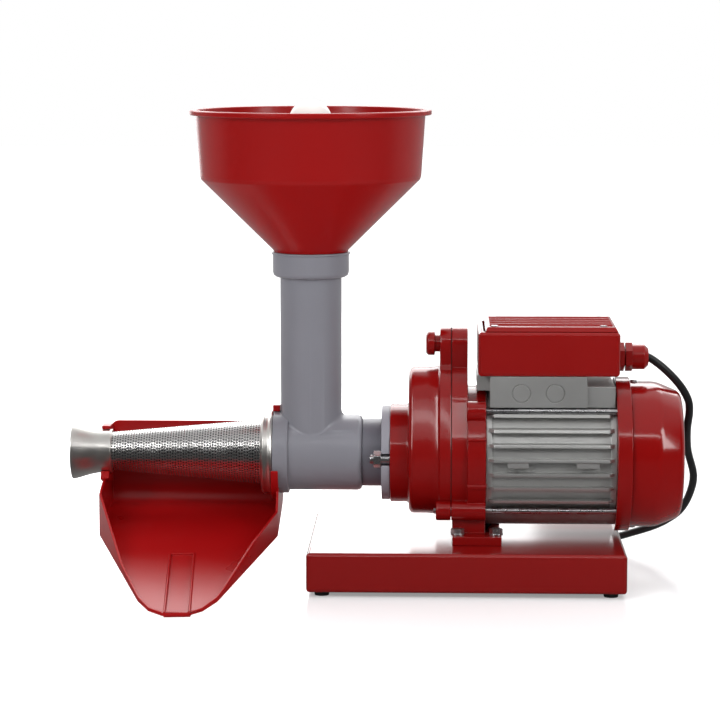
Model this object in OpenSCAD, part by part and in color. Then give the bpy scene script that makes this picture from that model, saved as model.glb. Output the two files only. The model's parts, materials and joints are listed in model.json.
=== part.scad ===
// Electric tomato press: a geared motor on a folded base drives an auger in a barrel,
// and the auger rubs the pulp through a perforated cone above a juice tray.
// Origin: middle of the base, on the table. +X towards the fan, +Y away from the user, +Z up.

/* [Base] */
// Length of the folded base
base_l = 272; // [262:1:282]
// Depth of the folded base
base_w = 196; // [186:1:206]
// Height of the base's top face above the table
base_top = 38; // [34:1:40]
// Thickness of the folded sheet
sheet_t = 2; // [1.5:0.1:2.5]
// Outside radius of the sheet's folds
fold_r = 3.5; // [3:0.1:5]
// Width of the return flange under the base
return_w = 20; // [17:1:24]
// Height of a rubber foot's head
foot_h = 4; // [3:0.5:6]
// Diameter of a rubber foot's head
foot_d = 14; // [12:0.5:16]
// Diameter of a rubber foot's stem
foot_stem_d = 6; // [5:0.5:7]

/* [Motor] */
// Height of the motor and barrel axis above the base's top
axis_h = 71; // [70.5:0.5:75]
// Where the stator frame starts, from the base's middle
motor_x = 17; // [14:0.5:20]
// Length of the stator frame
stator_l = 112; // [110:1:120]
// Radius over the fins
fin_r = 62; // [60.5:0.5:64]
// Radius of the stator frame's barrel under the fins
frame_r = 55; // [53.5:0.5:57]
// Wall of the stator frame
frame_wall = 4.5; // [3.5:0.5:6]
// Pitch of the horizontal fins
fin_pitch = 12.4; // [11.5:0.1:12.8]
// Thickness of a fin
fin_t = 3; // [2:0.2:5]
// Number of fins on each side
fin_n = 7; // [5:2:7]
// Height of the middle fin over the axis
fin_h0 = 3; // [1:0.2:4]
// Radius of the circle of tie rods
tie_r = 61.4; // [60.5:0.2:63]
// Diameter of a tie rod
tie_d = 5; // [4:0.5:6]
// Length of the rotor core
rotor_l = 66; // [56:1:72]
// Radius of the rotor core
rotor_r = 30; // [28:0.5:32]
// Air gap between rotor and stator
air_gap = 0.35; // [0.3:0.05:0.6]
// Diameter of the motor shaft
motor_shaft_d = 15; // [12:0.5:16]
// Outside diameter of a motor bearing
motor_bearing_d = 35; // [32:0.5:37]
// Width of a motor bearing
motor_bearing_w = 11; // [9:0.5:12]
// Thickness of the rear shield's rim
rear_shield_t = 13; // [12:0.5:15]
// Radius of the rear shield
rear_shield_r = 67.4; // [66.6:0.2:68.5]
// Length of the fan cover
cover_l = 45.2; // [43:0.2:50]
// Radius of the fan cover
cover_r = 63.6; // [62.5:0.2:65.5]
// Radius of the fan cover's rear edge
cover_end_r = 54; // [50:0.5:56]
// Wall of the fan cover
cover_wall = 1.6; // [1.2:0.1:2.2]
// Radius of the cooling fan
fan_r = 50; // [44:0.5:52]
// Number of fan blades
fan_n = 7; // [5:1:9]

/* [Terminal base and box] */
// Depth of the terminal base
seat_w = 90; // [84:1:92]
// Length of the terminal base's tall part
seat_l = 83.3; // [78:1:86]
// Height of the box's floor above the axis
box_h0 = 73.7; // [73:0.1:76]
// Length of the capacitor box
box_l = 121.7; // [115:0.1:125]
// Depth of the capacitor box
box_w = 94; // [92:1:98]
// Height of the capacitor box
box_h = 38.5; // [34:0.5:44]
// Radius of the capacitor box's edges
box_r = 4; // [3:0.5:7]
// Wall of the capacitor box
box_wall = 2.2; // [1.8:0.1:3]
// Height of the ribbed lid
lid_h = 5.1; // [4.5:0.1:6]
// Diameter of a knock-out
knockout_d = 16.3; // [14:0.1:18]

/* [Gear case] */
// Thickness of the motor's front shield
shield_t = 16; // [15:0.5:18]
// Radius of the motor's front shield
shield_r = 60; // [58.5:0.5:61]
// Length of the case's rear half
rear_half_l = 14.4; // [13.5:0.1:16]
// Length of the front half's joint rim
rim_t = 9.9; // [8:0.1:12]
// Length of the case's main body
body_l = 26.8; // [26:0.1:30]
// Length of the output boss
boss_l = 16.1; // [15.5:0.1:18]
// Radius of the output boss
boss_r = 43.2; // [42:0.2:44.5]
// Radius of the case round the axis
case_r = 52.8; // [52:0.2:54]
// Radius of the case round the layshaft
case_top_r = 38.5; // [38:0.1:40]
// How far the joint rim stands out
rim_step = 3.6; // [3:0.2:5]
// Wall of the case
case_wall = 3.5; // [3:0.1:4]
// Radius of the case's rounded front edge
case_edge_r = 4.5; // [3:0.5:5.5]
// Height of the top lobe above the axis
lobe_h = 97; // [95:0.5:98]
// Radius of the top lobe
lobe_r = 14; // [12.5:0.5:15]
// Radius of the grease plug's head
plug_r = 10.5; // [9:0.5:11.5]
// Radius of a case lug
lug_r = 8.6; // [7.6:0.2:8.8]
// Half length of the foot plate, across the axis
foot_half_w = 61; // [59:0.5:64]
// Length of the foot plate
foot_l = 42.5; // [41:0.5:46]
// Thickness of the foot plate
foot_t = 7.6; // [6:0.2:9]
// Distance between the foot's bolts, along the axis
foot_pitch_x = 33.2; // [32:0.2:35]
// Distance between the foot's bolts, across the axis
foot_pitch_y = 100; // [98:0.5:103]
// Thread diameter of the foot bolts
foot_bolt_d = 6; // [5:0.5:7]

/* [Gear train] */
// Module of the first gear pair
module_1 = 1; // [1:0.05:1.05]
// Module of the second gear pair
module_2 = 1.25; // [1.2:0.01:1.25]
// Teeth of either pinion
pinion_z = 12; // [12:1:12]
// Teeth of the layshaft gear
lay_gear_z = 63; // [63:1:63]
// Teeth of the output gear
out_gear_z = 48; // [48:1:48]
// Face width of the output gear
out_gear_w = 12; // [10:0.5:12.5]
// Face width of the layshaft gear
lay_gear_w = 8; // [6:0.5:8.5]
// Diameter of the output shaft
out_shaft_d = 20; // [18:0.5:22]
// Outside diameter of an output bearing
out_bearing_d = 42; // [40:0.5:43]
// Width of an output bearing
out_bearing_w = 12; // [10:0.5:12]
// Width of the output seal
seal_w = 5; // [4:0.5:6]
// Diameter of the layshaft
lay_shaft_d = 10; // [9:0.5:11]

/* [Barrel and clamp] */
// Thickness of the clamp flange
flange_t = 7.6; // [6:0.2:9]
// Radius of the clamp flange
flange_r = 41.2; // [40.5:0.2:43]
// Width of a clamp slot
slot_w = 10.4; // [9:0.2:12]
// Radius of the circle of clamp studs
stud_ring_r = 36.2; // [36.1:0.1:37]
// Thread diameter of a clamp stud
stud_d = 8; // [7:0.5:8]
// Length of the neck sleeve
neck_l = 16.8; // [14:0.2:20]
// Radius of the neck sleeve
neck_r = 29.5; // [27.5:0.2:30.5]
// Length of the barrel
barrel_l = 64.8; // [62:0.2:70]
// Radius of the barrel
barrel_r = 33.1; // [32.5:0.1:34]
// Length of the band at the barrel's mouth
band_l = 13.3; // [12.5:0.1:15]
// Radius of that band
band_r = 36; // [35.5:0.1:36.5]
// Bore radius of the barrel
bore_r = 29; // [28.5:0.1:29.3]
// Distance from the barrel's mouth to the hopper tube's centre
tube_x = 32.7; // [32:0.1:35]
// Radius of the hopper tube
tube_r = 26.7; // [26:0.1:28]
// Bore radius of the hopper tube
tube_bore_r = 23.5; // [22:0.1:24]
// Radius of the collar
collar_r = 33.2; // [32.6:0.1:35]
// Height of the collar's bottom above the axis
collar_h0 = 155; // [150:1:158]
// Length of the collar
collar_l = 22; // [20:0.5:26]
// Radius of the hopper's socket in the collar
socket_r = 30; // [29:0.1:30.5]
// Depth of the hopper's socket
socket_h = 18; // [15:0.5:20]

/* [Hopper and pestle] */
// Radius of the hopper's lip
rim_r = 104.9; // [102:0.5:110]
// Thickness of the hopper's lip
lip_t = 4.4; // [3.5:0.2:6]
// How far the lip stands out
lip_out = 5.4; // [4:0.2:7]
// Radius at the crease between wall and cone
crease_r = 96.1; // [92:0.2:97]
// Height of the rim above the axis
rim_h = 300.4; // [296:0.5:310]
// Height of the crease above the axis
crease_h = 242.5; // [236:0.5:250]
// Wall of the hopper
hopper_wall = 2.4; // [2:0.1:3]
// Radius of the cone's bottom
cone_foot_r = 32.2; // [32:0.1:32.5]
// Radius of the pestle
pestle_r = 19; // [17:0.5:20]
// Height of the pestle's top above the axis
pestle_h = 309; // [306:1:320]

/* [Filter] */
// Length of the filter ring
ring_l = 10; // [9:0.5:11]
// Radius of the filter ring
ring_r = 36.8; // [36:0.1:38]
// Length of the perforated cone
cone_l = 136.4; // [132:0.2:142]
// Outer radius of the cone's wide end
cone_big_r = 28.4; // [28:0.1:28.6]
// Outer radius of the cone's narrow end
cone_small_r = 16.4; // [15.5:0.1:17]
// Thickness of the perforated sheet
cone_t = 0.8; // [0.6:0.1:1.2]
// Length of the waste nozzle
nozzle_l = 31; // [28:0.5:36]
// Radius of the nozzle's neck
nozzle_neck_r = 19.2; // [18.8:0.1:20]
// Radius of the nozzle's mouth
nozzle_mouth_r = 24.7; // [23:0.1:26]
// Wall of the nozzle
nozzle_t = 1.3; // [1:0.1:1.6]

/* [Auger] */
// Pitch of the auger's flight
flight_pitch = 34; // [28:1:40]
// Axial thickness of the flight
flight_t = 4; // [3:0.5:6]
// Radius of the auger's core at its drive end
core_r = 15.5; // [14.5:0.1:17]
// Running gap between the auger and the barrel or cone
auger_gap = 0.7; // [0.5:0.1:1.2]

/* [Juice tray] */
// Wall of the tray
tray_t = 2.2; // [1.8:0.1:2.8]
// Distance from the axis to the tray's back wall
tray_back_y = 44; // [43:0.5:48]
// Height of the back wall's top above the axis
tray_back_h = 21; // [16:0.5:26]
// Distance from the axis to the end walls' front corners
tray_corner_y = 41; // [38:0.5:44]
// Distance from the axis to the tray's tip
tray_tip_y = 200; // [192:1:208]
// Half width of the tray near its tip
tray_tip_half_w = 33; // [30:0.5:36]
// Height of the floor's line under the axis, from the table
tray_floor_z = 50; // [48:0.5:54]
// Slope of the floor, in millimetres down for each millimetre forward
tray_slope = 0.22; // [0.2:0.005:0.225]
// Height of the walls at the front corners
tray_side_h = 37; // [32:0.5:40]
// Radius of the fillet between the floor and the back wall
tray_fillet_r = 24; // [20:0.5:26]
// Width of the drain channel
channel_w = 22; // [18:0.5:26]
// Length of the drain channel
channel_l = 118; // [100:1:124]
// Width of a hook's collar
hook_w = 7.5; // [6.5:0.1:8]

/* [Switch, gland and lead] */
// Width of the rocker switch's housing
switch_w = 30; // [26:0.5:34]
// Height of the rocker switch's housing
switch_h = 22; // [19:0.5:24]
// Length of the gland's dome nut
gland_nut_l = 20.1; // [17:0.1:22]
// Diameter across the flats of the gland's nuts
gland_af = 22; // [20:0.5:24]
// Diameter of the mains lead
cord_d = 7; // [6.5:0.1:7.5]
// Length of the plug's body
plug_l = 42; // [38:1:46]
// Width of the plug's body
plug_w = 27; // [25:1:28]
// Thickness of the plug's body
plug_t = 16; // [14:1:18]
// Length of the sleeve behind the plug
relief_l = 20; // [16:1:28]

/* [Hidden] */
$fn = 64;
hull_fn = 32;
snug = 0.03;
run_gap = 0.05;
seat_gap = 0.3;

collar_h1 = collar_h0 + collar_l;

// Stations along the axis
axis_z = base_top + axis_h;
x_stator1 = motor_x + stator_l;
x_rear1 = x_stator1 + rear_shield_t;
x_cover1 = x_rear1 + cover_l;
x_shield0 = motor_x - shield_t;
x_seam = x_shield0 - rear_half_l;
x_rim0 = x_seam - rim_t;
x_case0 = x_rim0 - body_l;
x_boss0 = x_case0 - boss_l;
x_flange0 = x_boss0 - flange_t;
x_neck0 = x_flange0 - neck_l;
x_barrel0 = x_neck0 - barrel_l;
x_mouth = x_barrel0 - band_l;
x_tube = x_mouth + tube_x;
x_ring1 = x_mouth - seat_gap;
x_ring0 = x_ring1 - ring_l;
x_cone0 = x_ring0 - cone_l;
x_nozzle0 = x_cone0 - nozzle_l;

red_enamel = [0.55, 0.06, 0.06];
red_plastic = [0.7, 0.1, 0.12];
grey_plastic = [0.53, 0.53, 0.56];
steel = [0.75, 0.75, 0.77];
cast_alloy = [0.66, 0.67, 0.66];
black_rubber = [0.06, 0.06, 0.06];

// Lays a drawing in the plane across the axis, and its height along +X
module along_x(x = 0) translate([x, 0, axis_z]) rotate([90, 0, 90]) children();

// A turned piece about the axis, from [radius, x] points
module turned(points) along_x() rotate_extrude() polygon(points);

// A plain ring or disc about the axis
module ring(x, l, r, hole = 0) along_x(x) difference() {
    cylinder(h = l, r = r);
    if (hole > 0) translate([0, 0, -1]) cylinder(h = l + 2, r = hole);
}

// A rectangle with round corners, centred
module rounded_rect(w, h, r) {
    square([w - 2 * r, h], center = true);
    square([w, h - 2 * r], center = true);
    for (sx = [-1, 1], sy = [-1, 1]) translate([sx * (w / 2 - r), sy * (h / 2 - r)]) circle(r);
}

// A block with all its edges rounded, standing on z = 0
module soft_block(l, w, h, r) intersection() {
    linear_extrude(h) rounded_rect(l, w, r);
    translate([0, w / 2 + 1, h / 2]) rotate([90, 0, 0]) linear_extrude(w + 2) rounded_rect(l, h, r);
    translate([-l / 2 - 1, 0, h / 2]) rotate([90, 0, 90]) linear_extrude(l + 2) rounded_rect(w, h, r);
}

// A hexagon prism of a given size across its flats
module hex(af, h) cylinder(h = h, r = af / 2 / cos(30), $fn = 6);

/* Base */

foot_x = base_l / 2 - return_w * 0.65;
foot_y = base_w / 2 - return_w * 0.65;
foot_stem_r = foot_stem_d / 2;

foot_bolt_x0 = x_seam + 6;
module at_foot_bolts() for (i = [0, 1], sy = [-1, 1])
    translate([foot_bolt_x0 + i * foot_pitch_x, sy * foot_pitch_y / 2, 0]) children();
module at_rubber_feet() for (sx = [-1, 1], sy = [-1, 1])
    translate([sx * foot_x, sy * foot_y, 0]) children();

module base_plate() color(red_enamel) difference() {
    translate([0, 0, foot_h]) soft_block(base_l, base_w, base_top - foot_h, fold_r);
    translate([0, 0, foot_h + sheet_t])
        soft_block(base_l - 2 * sheet_t, base_w - 2 * sheet_t, base_top - foot_h - 2 * sheet_t, fold_r - sheet_t);
    translate([-base_l / 2 + return_w, -base_w / 2 + return_w, foot_h - 1])
        cube([base_l - 2 * return_w, base_w - 2 * return_w, sheet_t + 2]);
    at_rubber_feet() translate([0, 0, foot_h - 1]) cylinder(h = sheet_t + 2, r = foot_stem_r + snug);
    at_foot_bolts() translate([0, 0, base_top - sheet_t - 1]) cylinder(h = sheet_t + 2, d = foot_bolt_d + 0.5);
}

module rubber_feet() color(black_rubber) at_rubber_feet() {
    cylinder(h = foot_h, d1 = foot_d - 2, d2 = foot_d);
    cylinder(h = foot_h + sheet_t + 1, r = foot_stem_r);
    translate([0, 0, foot_h + sheet_t]) cylinder(h = 4, r1 = foot_stem_r + 1.4, r2 = foot_stem_r - 1);
}

/* Gear case */

lay_h = module_1 * (pinion_z + lay_gear_z) / 2;
lay_case_h = 37.5;
tie_xy = tie_r * sin(45);

// The outline of the case across the axis: two circles joined by flat sides
flat_in = 0.15;
module case_outline(r_low, r_top) {
    tilt = asin((r_low - r_top) / lay_case_h);
    low = r_low - flat_in;
    top = r_top - flat_in;
    circle(r_low);
    translate([0, lay_case_h]) circle(r_top);
    polygon([[low * cos(tilt), low * sin(tilt)], [top * cos(tilt), lay_case_h + top * sin(tilt)],
        [-top * cos(tilt), lay_case_h + top * sin(tilt)], [-low * cos(tilt), low * sin(tilt)]]);
}

rim_low_r = case_r + rim_step;
rim_top_r = case_top_r + rim_step;
lobe_foot_h = lay_case_h + rim_top_r * 0.82;
lobe_foot_w = rim_top_r * 0.5;

// The joint rim's outline, with the lobe on top and the four lugs
module rim_outline() {
    case_outline(rim_low_r, rim_top_r);
    lobe_outline();
}
module lobe_outline() {
    translate([0, lobe_h]) circle(lobe_r);
    w = lobe_r - flat_in;
    polygon([[w, lobe_h], [w, lobe_foot_h + 4], [lobe_foot_w, lobe_foot_h],
        [-lobe_foot_w, lobe_foot_h], [-w, lobe_foot_h + 4], [-w, lobe_h]]);
}

upper_ties = [45, 135];
lower_ties = [225, 315];
module at_ties(angles = concat(upper_ties, lower_ties)) for (a = angles) rotate([0, 0, a]) translate([tie_r, 0]) children();

module case_shell() {
    along_x(x_case0 + 1.5) linear_extrude(body_l + 2) case_outline(case_r, case_top_r);
    along_x(x_case0) linear_extrude(3) case_outline(case_r - case_edge_r * 0.35, case_top_r - case_edge_r * 0.35);
}

inner_boss_r = out_bearing_d / 2 + 3.5;
bearing_x0 = x_boss0 + seal_w + 0.8;
bearing_x1 = bearing_x0 + out_bearing_w + 2;
bearings_end = bearing_x1 + out_bearing_w;
lay_boss_r = lay_shaft_d / 2 + 5;
lay_boss_l = 7;
bush_l = 6;

module gear_case_front() color(red_enamel) difference() {
    union() {
        case_shell();
        along_x(x_rim0) linear_extrude(rim_t + 2) rim_outline();
        along_x(x_rim0 - 4.6) linear_extrude(5) case_outline(case_r + 0.8, case_top_r + 0.8);
        ring(x_boss0, boss_l + 1, boss_r);
        along_x(x_rim0 - 3) at_ties(lower_ties) cylinder(h = rim_t + 5, r = lug_r);
    }
    along_x(x_seam) linear_extrude(20) square([300, 300], center = true);
    difference() {
        along_x(x_case0 + case_wall + 0.5) linear_extrude(100) case_outline(case_r - case_wall, case_top_r - case_wall);
        ring(x_case0, bearings_end - x_case0, inner_boss_r);
        along_x(x_case0) translate([0, lay_h]) cylinder(h = case_wall + lay_boss_l, r = lay_boss_r);
    }
    along_x(x_seam - 8) translate([0, 0, 0]) linear_extrude(20) lobe_hollow();
    ring(x_boss0 - 1, 80, out_shaft_d / 2 + 3);
    ring(x_boss0 - 1, seal_w + 1.8 + 2 * out_bearing_w + 2 + 0.01, out_bearing_d / 2 + snug);
    along_x(x_case0 + case_wall + lay_boss_l - bush_l) translate([0, lay_h])
        cylinder(h = bush_l + 1, r = lay_shaft_d / 2 + 3 + snug);
    along_x(x_rim0 - 10) at_ties(lower_ties) cylinder(h = 60, r = tie_d / 2 + snug);
    along_x(x_rim0 - 1) translate([0, lobe_h]) cylinder(h = 30, r = plug_neck_r + snug);
    for (s = [-1, 1]) along_x(x_boss0 - 1) translate([s * stud_ring_r, 0]) cylinder(h = stud_in + 1, r = stud_d / 2 + snug);
}

plug_neck_r = 6;
stud_in = 12;
module lobe_hollow() {
    r = lobe_r - case_wall - 1;
    translate([0, lobe_h - 2]) circle(r);
    translate([-r + flat_in, lay_case_h]) square([2 * (r - flat_in), lobe_h - lay_case_h - 2]);
}

foot_x0 = foot_bolt_x0 - 4.6;
foot_x1 = foot_x0 + foot_l;
pedestal_half_w = foot_pitch_y / 2 - 8;
ear_x0 = motor_x - 0.5;
shaft_hole_r = motor_shaft_d / 2 + 1;

module gear_case_rear() color(red_enamel) difference() {
    union() {
        along_x(x_seam + gasket_t) linear_extrude(rear_half_l - gasket_t) rim_outline();
        ring(x_shield0 - 0.01, shield_t - 0.3, shield_r);
        ring(x_shield0, shield_t + 3, frame_r - frame_wall - seat_gap);
        along_x(x_seam + gasket_t) at_ties(lower_ties) cylinder(h = rear_half_l + shield_t - 0.3 - gasket_t, r = lug_r);
        along_x(x_shield0 - 0.5) at_ties(upper_ties) cylinder(h = shield_t + 0.2, r = lug_r);
        for (a = [20, -20, 160, 200]) along_x(x_shield0) rotate([0, 0, a])
            translate([shield_r - 4, -1.5, 0]) cube([5.5, 3, shield_t - 0.3]);
        translate([foot_x0, -foot_half_w, base_top]) cube([ear_x0 - foot_x0, 2 * foot_half_w, foot_t]);
        for (s = [-1, 1]) translate([foot_x0, s > 0 ? pedestal_half_w - 4 : -foot_half_w, base_top])
            cube([foot_l, foot_half_w - pedestal_half_w + 4, foot_t]);
        translate([foot_x0, -pedestal_half_w, base_top]) cube([ear_x0 - foot_x0 - 0.3, 2 * pedestal_half_w, 24]);
    }
    along_x(x_seam - 1) linear_extrude(rear_half_l + 1 - case_wall - 0.5)
        case_outline(case_r - case_wall, case_top_r - case_wall);
    along_x(x_seam - 1) linear_extrude(9) lobe_hollow();
    along_x(x_shield0 - case_wall - 1) translate([0, lay_h]) cylinder(h = 5, r = lay_shaft_d / 2 + 3 + snug);
    ring(x_seam - 1, 60, shaft_hole_r);
    ring(front_bearing_x, motor_bearing_w + 30, motor_bearing_d / 2 + snug);
    difference() {
        ring(x_shield0 + 4, 60, frame_r - frame_wall - 4);
        ring(x_shield0, front_bearing_x + motor_bearing_w - x_shield0, motor_bearing_d / 2 + 4);
    }
    along_x(x_seam - 1) at_ties(lower_ties) cylinder(h = 60, r = tie_d / 2 + snug);
    along_x(upper_tie_x0 - 0.2) at_ties(upper_ties) cylinder(h = 60, r = tie_d / 2 + snug);
    at_foot_bolts() translate([0, 0, base_top - 1]) cylinder(h = foot_t + 2, d = foot_bolt_d + 0.6);
    translate([foot_x0 + 5, -pedestal_half_w + 5, base_top - 1])
        cube([ear_x0 - foot_x0 - 10, 2 * pedestal_half_w - 10, 7]);
}

gasket_t = 0.5;
upper_tie_x0 = x_shield0 + 2.5;
front_bearing_x = x_shield0 + 3;

module case_gasket() color("dimgray") difference() {
    union() {
        along_x(x_seam) linear_extrude(gasket_t) case_outline(rim_low_r, rim_top_r);
        along_x(x_seam) linear_extrude(gasket_t) lobe_outline();
    }
    along_x(x_seam - 1) linear_extrude(3) case_outline(case_r - case_wall, case_top_r - case_wall);
    along_x(x_seam - 1) linear_extrude(3) lobe_hollow();
    along_x(x_seam - 1) at_ties(lower_ties) cylinder(h = 5, r = tie_d / 2 + 0.2);
}

module grease_plug() color(red_enamel) along_x(x_rim0) translate([0, lobe_h]) {
    cylinder(h = 7, r = plug_neck_r);
    translate([0, 0, -4]) cylinder(h = 4, r = plug_r - 3);
    translate([0, 0, -12]) cylinder(h = 8, r = plug_r);
}

washer_t = 1.6;
module foot_bolts() color(steel) at_foot_bolts() translate([0, 0, base_top + foot_t]) {
    cylinder(h = washer_t, d = foot_bolt_d * 2);
    translate([0, 0, washer_t]) hex(foot_bolt_d * 1.67, foot_bolt_d * 0.67);
    translate([0, 0, -foot_t - sheet_t - foot_bolt_d - 2]) cylinder(h = foot_t + sheet_t + foot_bolt_d + 3, d = foot_bolt_d);
}

module foot_nuts() color(steel) at_foot_bolts() translate([0, 0, base_top - sheet_t - foot_bolt_d * 0.83]) difference() {
    hex(foot_bolt_d * 1.67, foot_bolt_d * 0.83);
    translate([0, 0, -1]) cylinder(h = foot_bolt_d * 2, d = foot_bolt_d + 2 * snug);
}

/* Motor */

frame_bore_r = frame_r - frame_wall;
core_x0 = motor_x + (stator_l - rotor_l) / 2;
core_bore_r = rotor_r + air_gap;
band_h = 46;

module stator_frame() color(cast_alloy) difference() {
    union() {
        ring(motor_x, stator_l, frame_r);
        for (x = [motor_x, x_stator1 - 5]) ring(x, 5, frame_r + 2);
        intersection() {
            turned([[0, motor_x + 2], [frame_r + 1.8, motor_x + 2], [fin_r, motor_x + 6.5], [fin_r, x_stator1 - 6.5],
                [frame_r + 1.8, x_stator1 - 2], [0, x_stator1 - 2]]);
            for (i = [0:fin_n - 1]) translate([motor_x, -fin_r, axis_z + fin_h0 + (i - (fin_n - 1) / 2) * fin_pitch - fin_t / 2])
                cube([stator_l, 2 * fin_r, fin_t]);
        }
        intersection() {
            ring(motor_x, stator_l, fin_r);
            translate([motor_x, -fin_r, axis_z - fin_r - 1]) cube([stator_l, 2 * fin_r, fin_r + 1 - band_h]);
        }
        intersection() {
            ring(motor_x, stator_l, fin_r);
            translate([seat_x0 + 2, -32, axis_z + 40]) cube([seat_l - 4, 64, fin_r]);
        }
        intersection() {
            ring(motor_x, stator_l, fin_r - 0.4);
            for (x = [[18, 18.2], [77, 19.8]], s = [-1, 1])
                translate([motor_x + x[0], s > 0 ? frame_r - 2 : -fin_r, axis_z - 3.3]) cube([x[1], fin_r - frame_r + 2, 6.6]);
        }
    }
    ring(motor_x - 1, stator_l + 2, frame_bore_r);
    along_x(motor_x - 1) at_ties() cylinder(h = stator_l + 2, r = tie_d / 2 + 0.5);
}

module stator_core() color("slategray") ring(core_x0, rotor_l, frame_bore_r - snug, core_bore_r);

winding_r = (frame_bore_r + core_bore_r) / 2;
module stator_windings() color([0.65, 0.35, 0.15]) for (x = [core_x0 - 10.2, core_x0 + rotor_l + 0.2]) along_x(x)
    rotate_extrude() translate([winding_r, 5]) rounded_rect(frame_bore_r - core_bore_r - 5, 10, 4);

module tie_rods() color(steel) {
    along_x(x_rim0 - 5) at_ties(lower_ties) cylinder(h = x_rear1 - x_rim0 + 4.5, r = tie_d / 2);
    along_x(upper_tie_x0) at_ties(upper_ties) cylinder(h = x_rear1 - 0.5 - upper_tie_x0, r = tie_d / 2);
}

module tie_rod_nuts() color(steel) along_x(x_rear1 - 5) at_ties() difference() {
    hex(8, 4);
    translate([0, 0, -1]) cylinder(h = 7, r = tie_d / 2 + snug);
}

rear_bearing_x = x_rear1 - motor_bearing_w - 2;
spigot_l = 8;
module rear_shield() color(red_enamel) difference() {
    union() {
        ring(x_stator1 + 0.05, rear_shield_t - 0.05, rear_shield_r);
        ring(x_stator1 - 4, 8, frame_bore_r - seat_gap);
        ring(x_rear1 - 1, spigot_l + 1, cover_r - cover_wall - snug);
    }
    difference() {
        ring(x_stator1 - 5, rear_shield_t + 1, frame_bore_r - 4);
        ring(rear_bearing_x - 3, 30, motor_bearing_d / 2 + 5);
    }
    ring(x_rear1 + 0.5, 20, cover_r - cover_wall - 4);
    ring(x_stator1 - 10, rear_bearing_x + motor_bearing_w - x_stator1 + 10, motor_bearing_d / 2 + snug);
    ring(x_stator1 - 10, 60, shaft_hole_r);
    along_x(x_stator1 - 1) at_ties() cylinder(h = 40, r = tie_d / 2 + snug);
    along_x(x_rear1 - 5) at_ties() cylinder(h = 40, r = 5);
    for (a = cover_screw_angles) along_x(x_rear1 + spigot_l / 2) rotate([0, 0, a]) rotate([0, 90, 0])
        translate([0, 0, cover_r - 12]) cylinder(h = 20, r = 2);
}

module bearing(x, w, od, bore) color(steel) difference() {
    ring(x, w, od / 2, bore / 2 + run_gap);
    for (f = [x - 1, x + w - 0.8]) ring(f, 1.8, od / 2 - (od - bore) * 0.13, bore / 2 + (od - bore) * 0.13);
}

module motor_bearings() {
    bearing(front_bearing_x, motor_bearing_w, motor_bearing_d, motor_shaft_d);
    bearing(rear_bearing_x, motor_bearing_w, motor_bearing_d, motor_shaft_d);
}

module output_bearings() {
    bearing(bearing_x0, out_bearing_w, out_bearing_d, out_shaft_d);
    bearing(bearing_x1, out_bearing_w, out_bearing_d, out_shaft_d);
}

module layshaft_bushes() color([0.7, 0.55, 0.25]) {
    for (x = [x_case0 + case_wall + lay_boss_l - bush_l, x_shield0 - case_wall - 0.9]) along_x(x) translate([0, lay_h]) difference() {
        cylinder(h = x < x_seam ? bush_l : 4.8, r = lay_shaft_d / 2 + 3);
        translate([0, 0, -1]) cylinder(h = bush_l + 2, r = lay_shaft_d / 2 + run_gap);
    }
}

module output_seal() color(black_rubber) ring(x_boss0 + 0.5, seal_w, out_bearing_d / 2, out_shaft_d / 2 + run_gap);

cover_screw_angles = [0, 90, 270];
cover_bend_x = x_cover1 - 22;
module fan_cover() color(red_enamel) difference() {
    turned([[0, x_rear1 + 0.3], [cover_r, x_rear1 + 0.3], [cover_r, cover_bend_x], [cover_end_r + 2.8, x_cover1 - 5.6],
        [cover_end_r + 1.4, x_cover1 - 2.8], [cover_end_r - 0.6, x_cover1 - 1], [cover_end_r - 3.4, x_cover1], [0, x_cover1]]);
    turned([[0, x_rear1 - 1], [cover_r - cover_wall, x_rear1 - 1], [cover_r - cover_wall, cover_bend_x - 0.3],
        [cover_end_r + 2.8 - cover_wall, x_cover1 - 6], [cover_end_r + 1.4 - cover_wall, x_cover1 - 3.8],
        [cover_end_r - 3.4, x_cover1 - cover_wall], [0, x_cover1 - cover_wall]]);
    // The rear grille: rings of slots between radial bridges
    along_x(x_cover1 - cover_wall - 1) for (k = [1:5]) for (s = [0:5]) rotate([0, 0, 60 * s + 6]) intersection() {
        difference() {
            cylinder(h = 5, r = 8 * k + 4.5);
            translate([0, 0, -1]) cylinder(h = 7, r = 8 * k);
        }
        linear_extrude(5) polygon([[0, 0], [100, 0], [100 * cos(48), 100 * sin(48)]]);
    }
    for (a = cover_screw_angles) along_x(x_rear1 + spigot_l / 2) rotate([0, 0, a]) rotate([0, 90, 0])
        translate([0, 0, cover_r - 5]) cylinder(h = 9, r = 2.1);
}

module fan_cover_screws() color(steel) for (a = cover_screw_angles) along_x(x_rear1 + spigot_l / 2) rotate([0, 0, a])
    rotate([0, 90, 0]) {
        translate([0, 0, cover_r - 8]) cylinder(h = 9, r = 2 - snug);
        translate([0, 0, cover_r + 0.1]) cylinder(h = 1.8, r1 = 4, r2 = 2.6);
    }

module rotor_core() color("gray") difference() {
    union() {
        ring(core_x0, rotor_l, rotor_r);
        for (x = [core_x0 - 4, core_x0 + rotor_l]) ring(x, 4, rotor_r - 4, motor_shaft_d / 2 + 6);
    }
    ring(core_x0 - 10, rotor_l + 20, motor_shaft_d / 2 + snug);
}

pinion_x0 = x_seam - 4;
module motor_shaft() color(steel) {
    ring(front_bearing_x - 2, x_rear1 + 15 - front_bearing_x, motor_shaft_d / 2);
    ring(x_rear1 + 8, 14, motor_shaft_d / 2 - 1.5);
    ring(pinion_x0, front_bearing_x - pinion_x0, 4);
}

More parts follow.
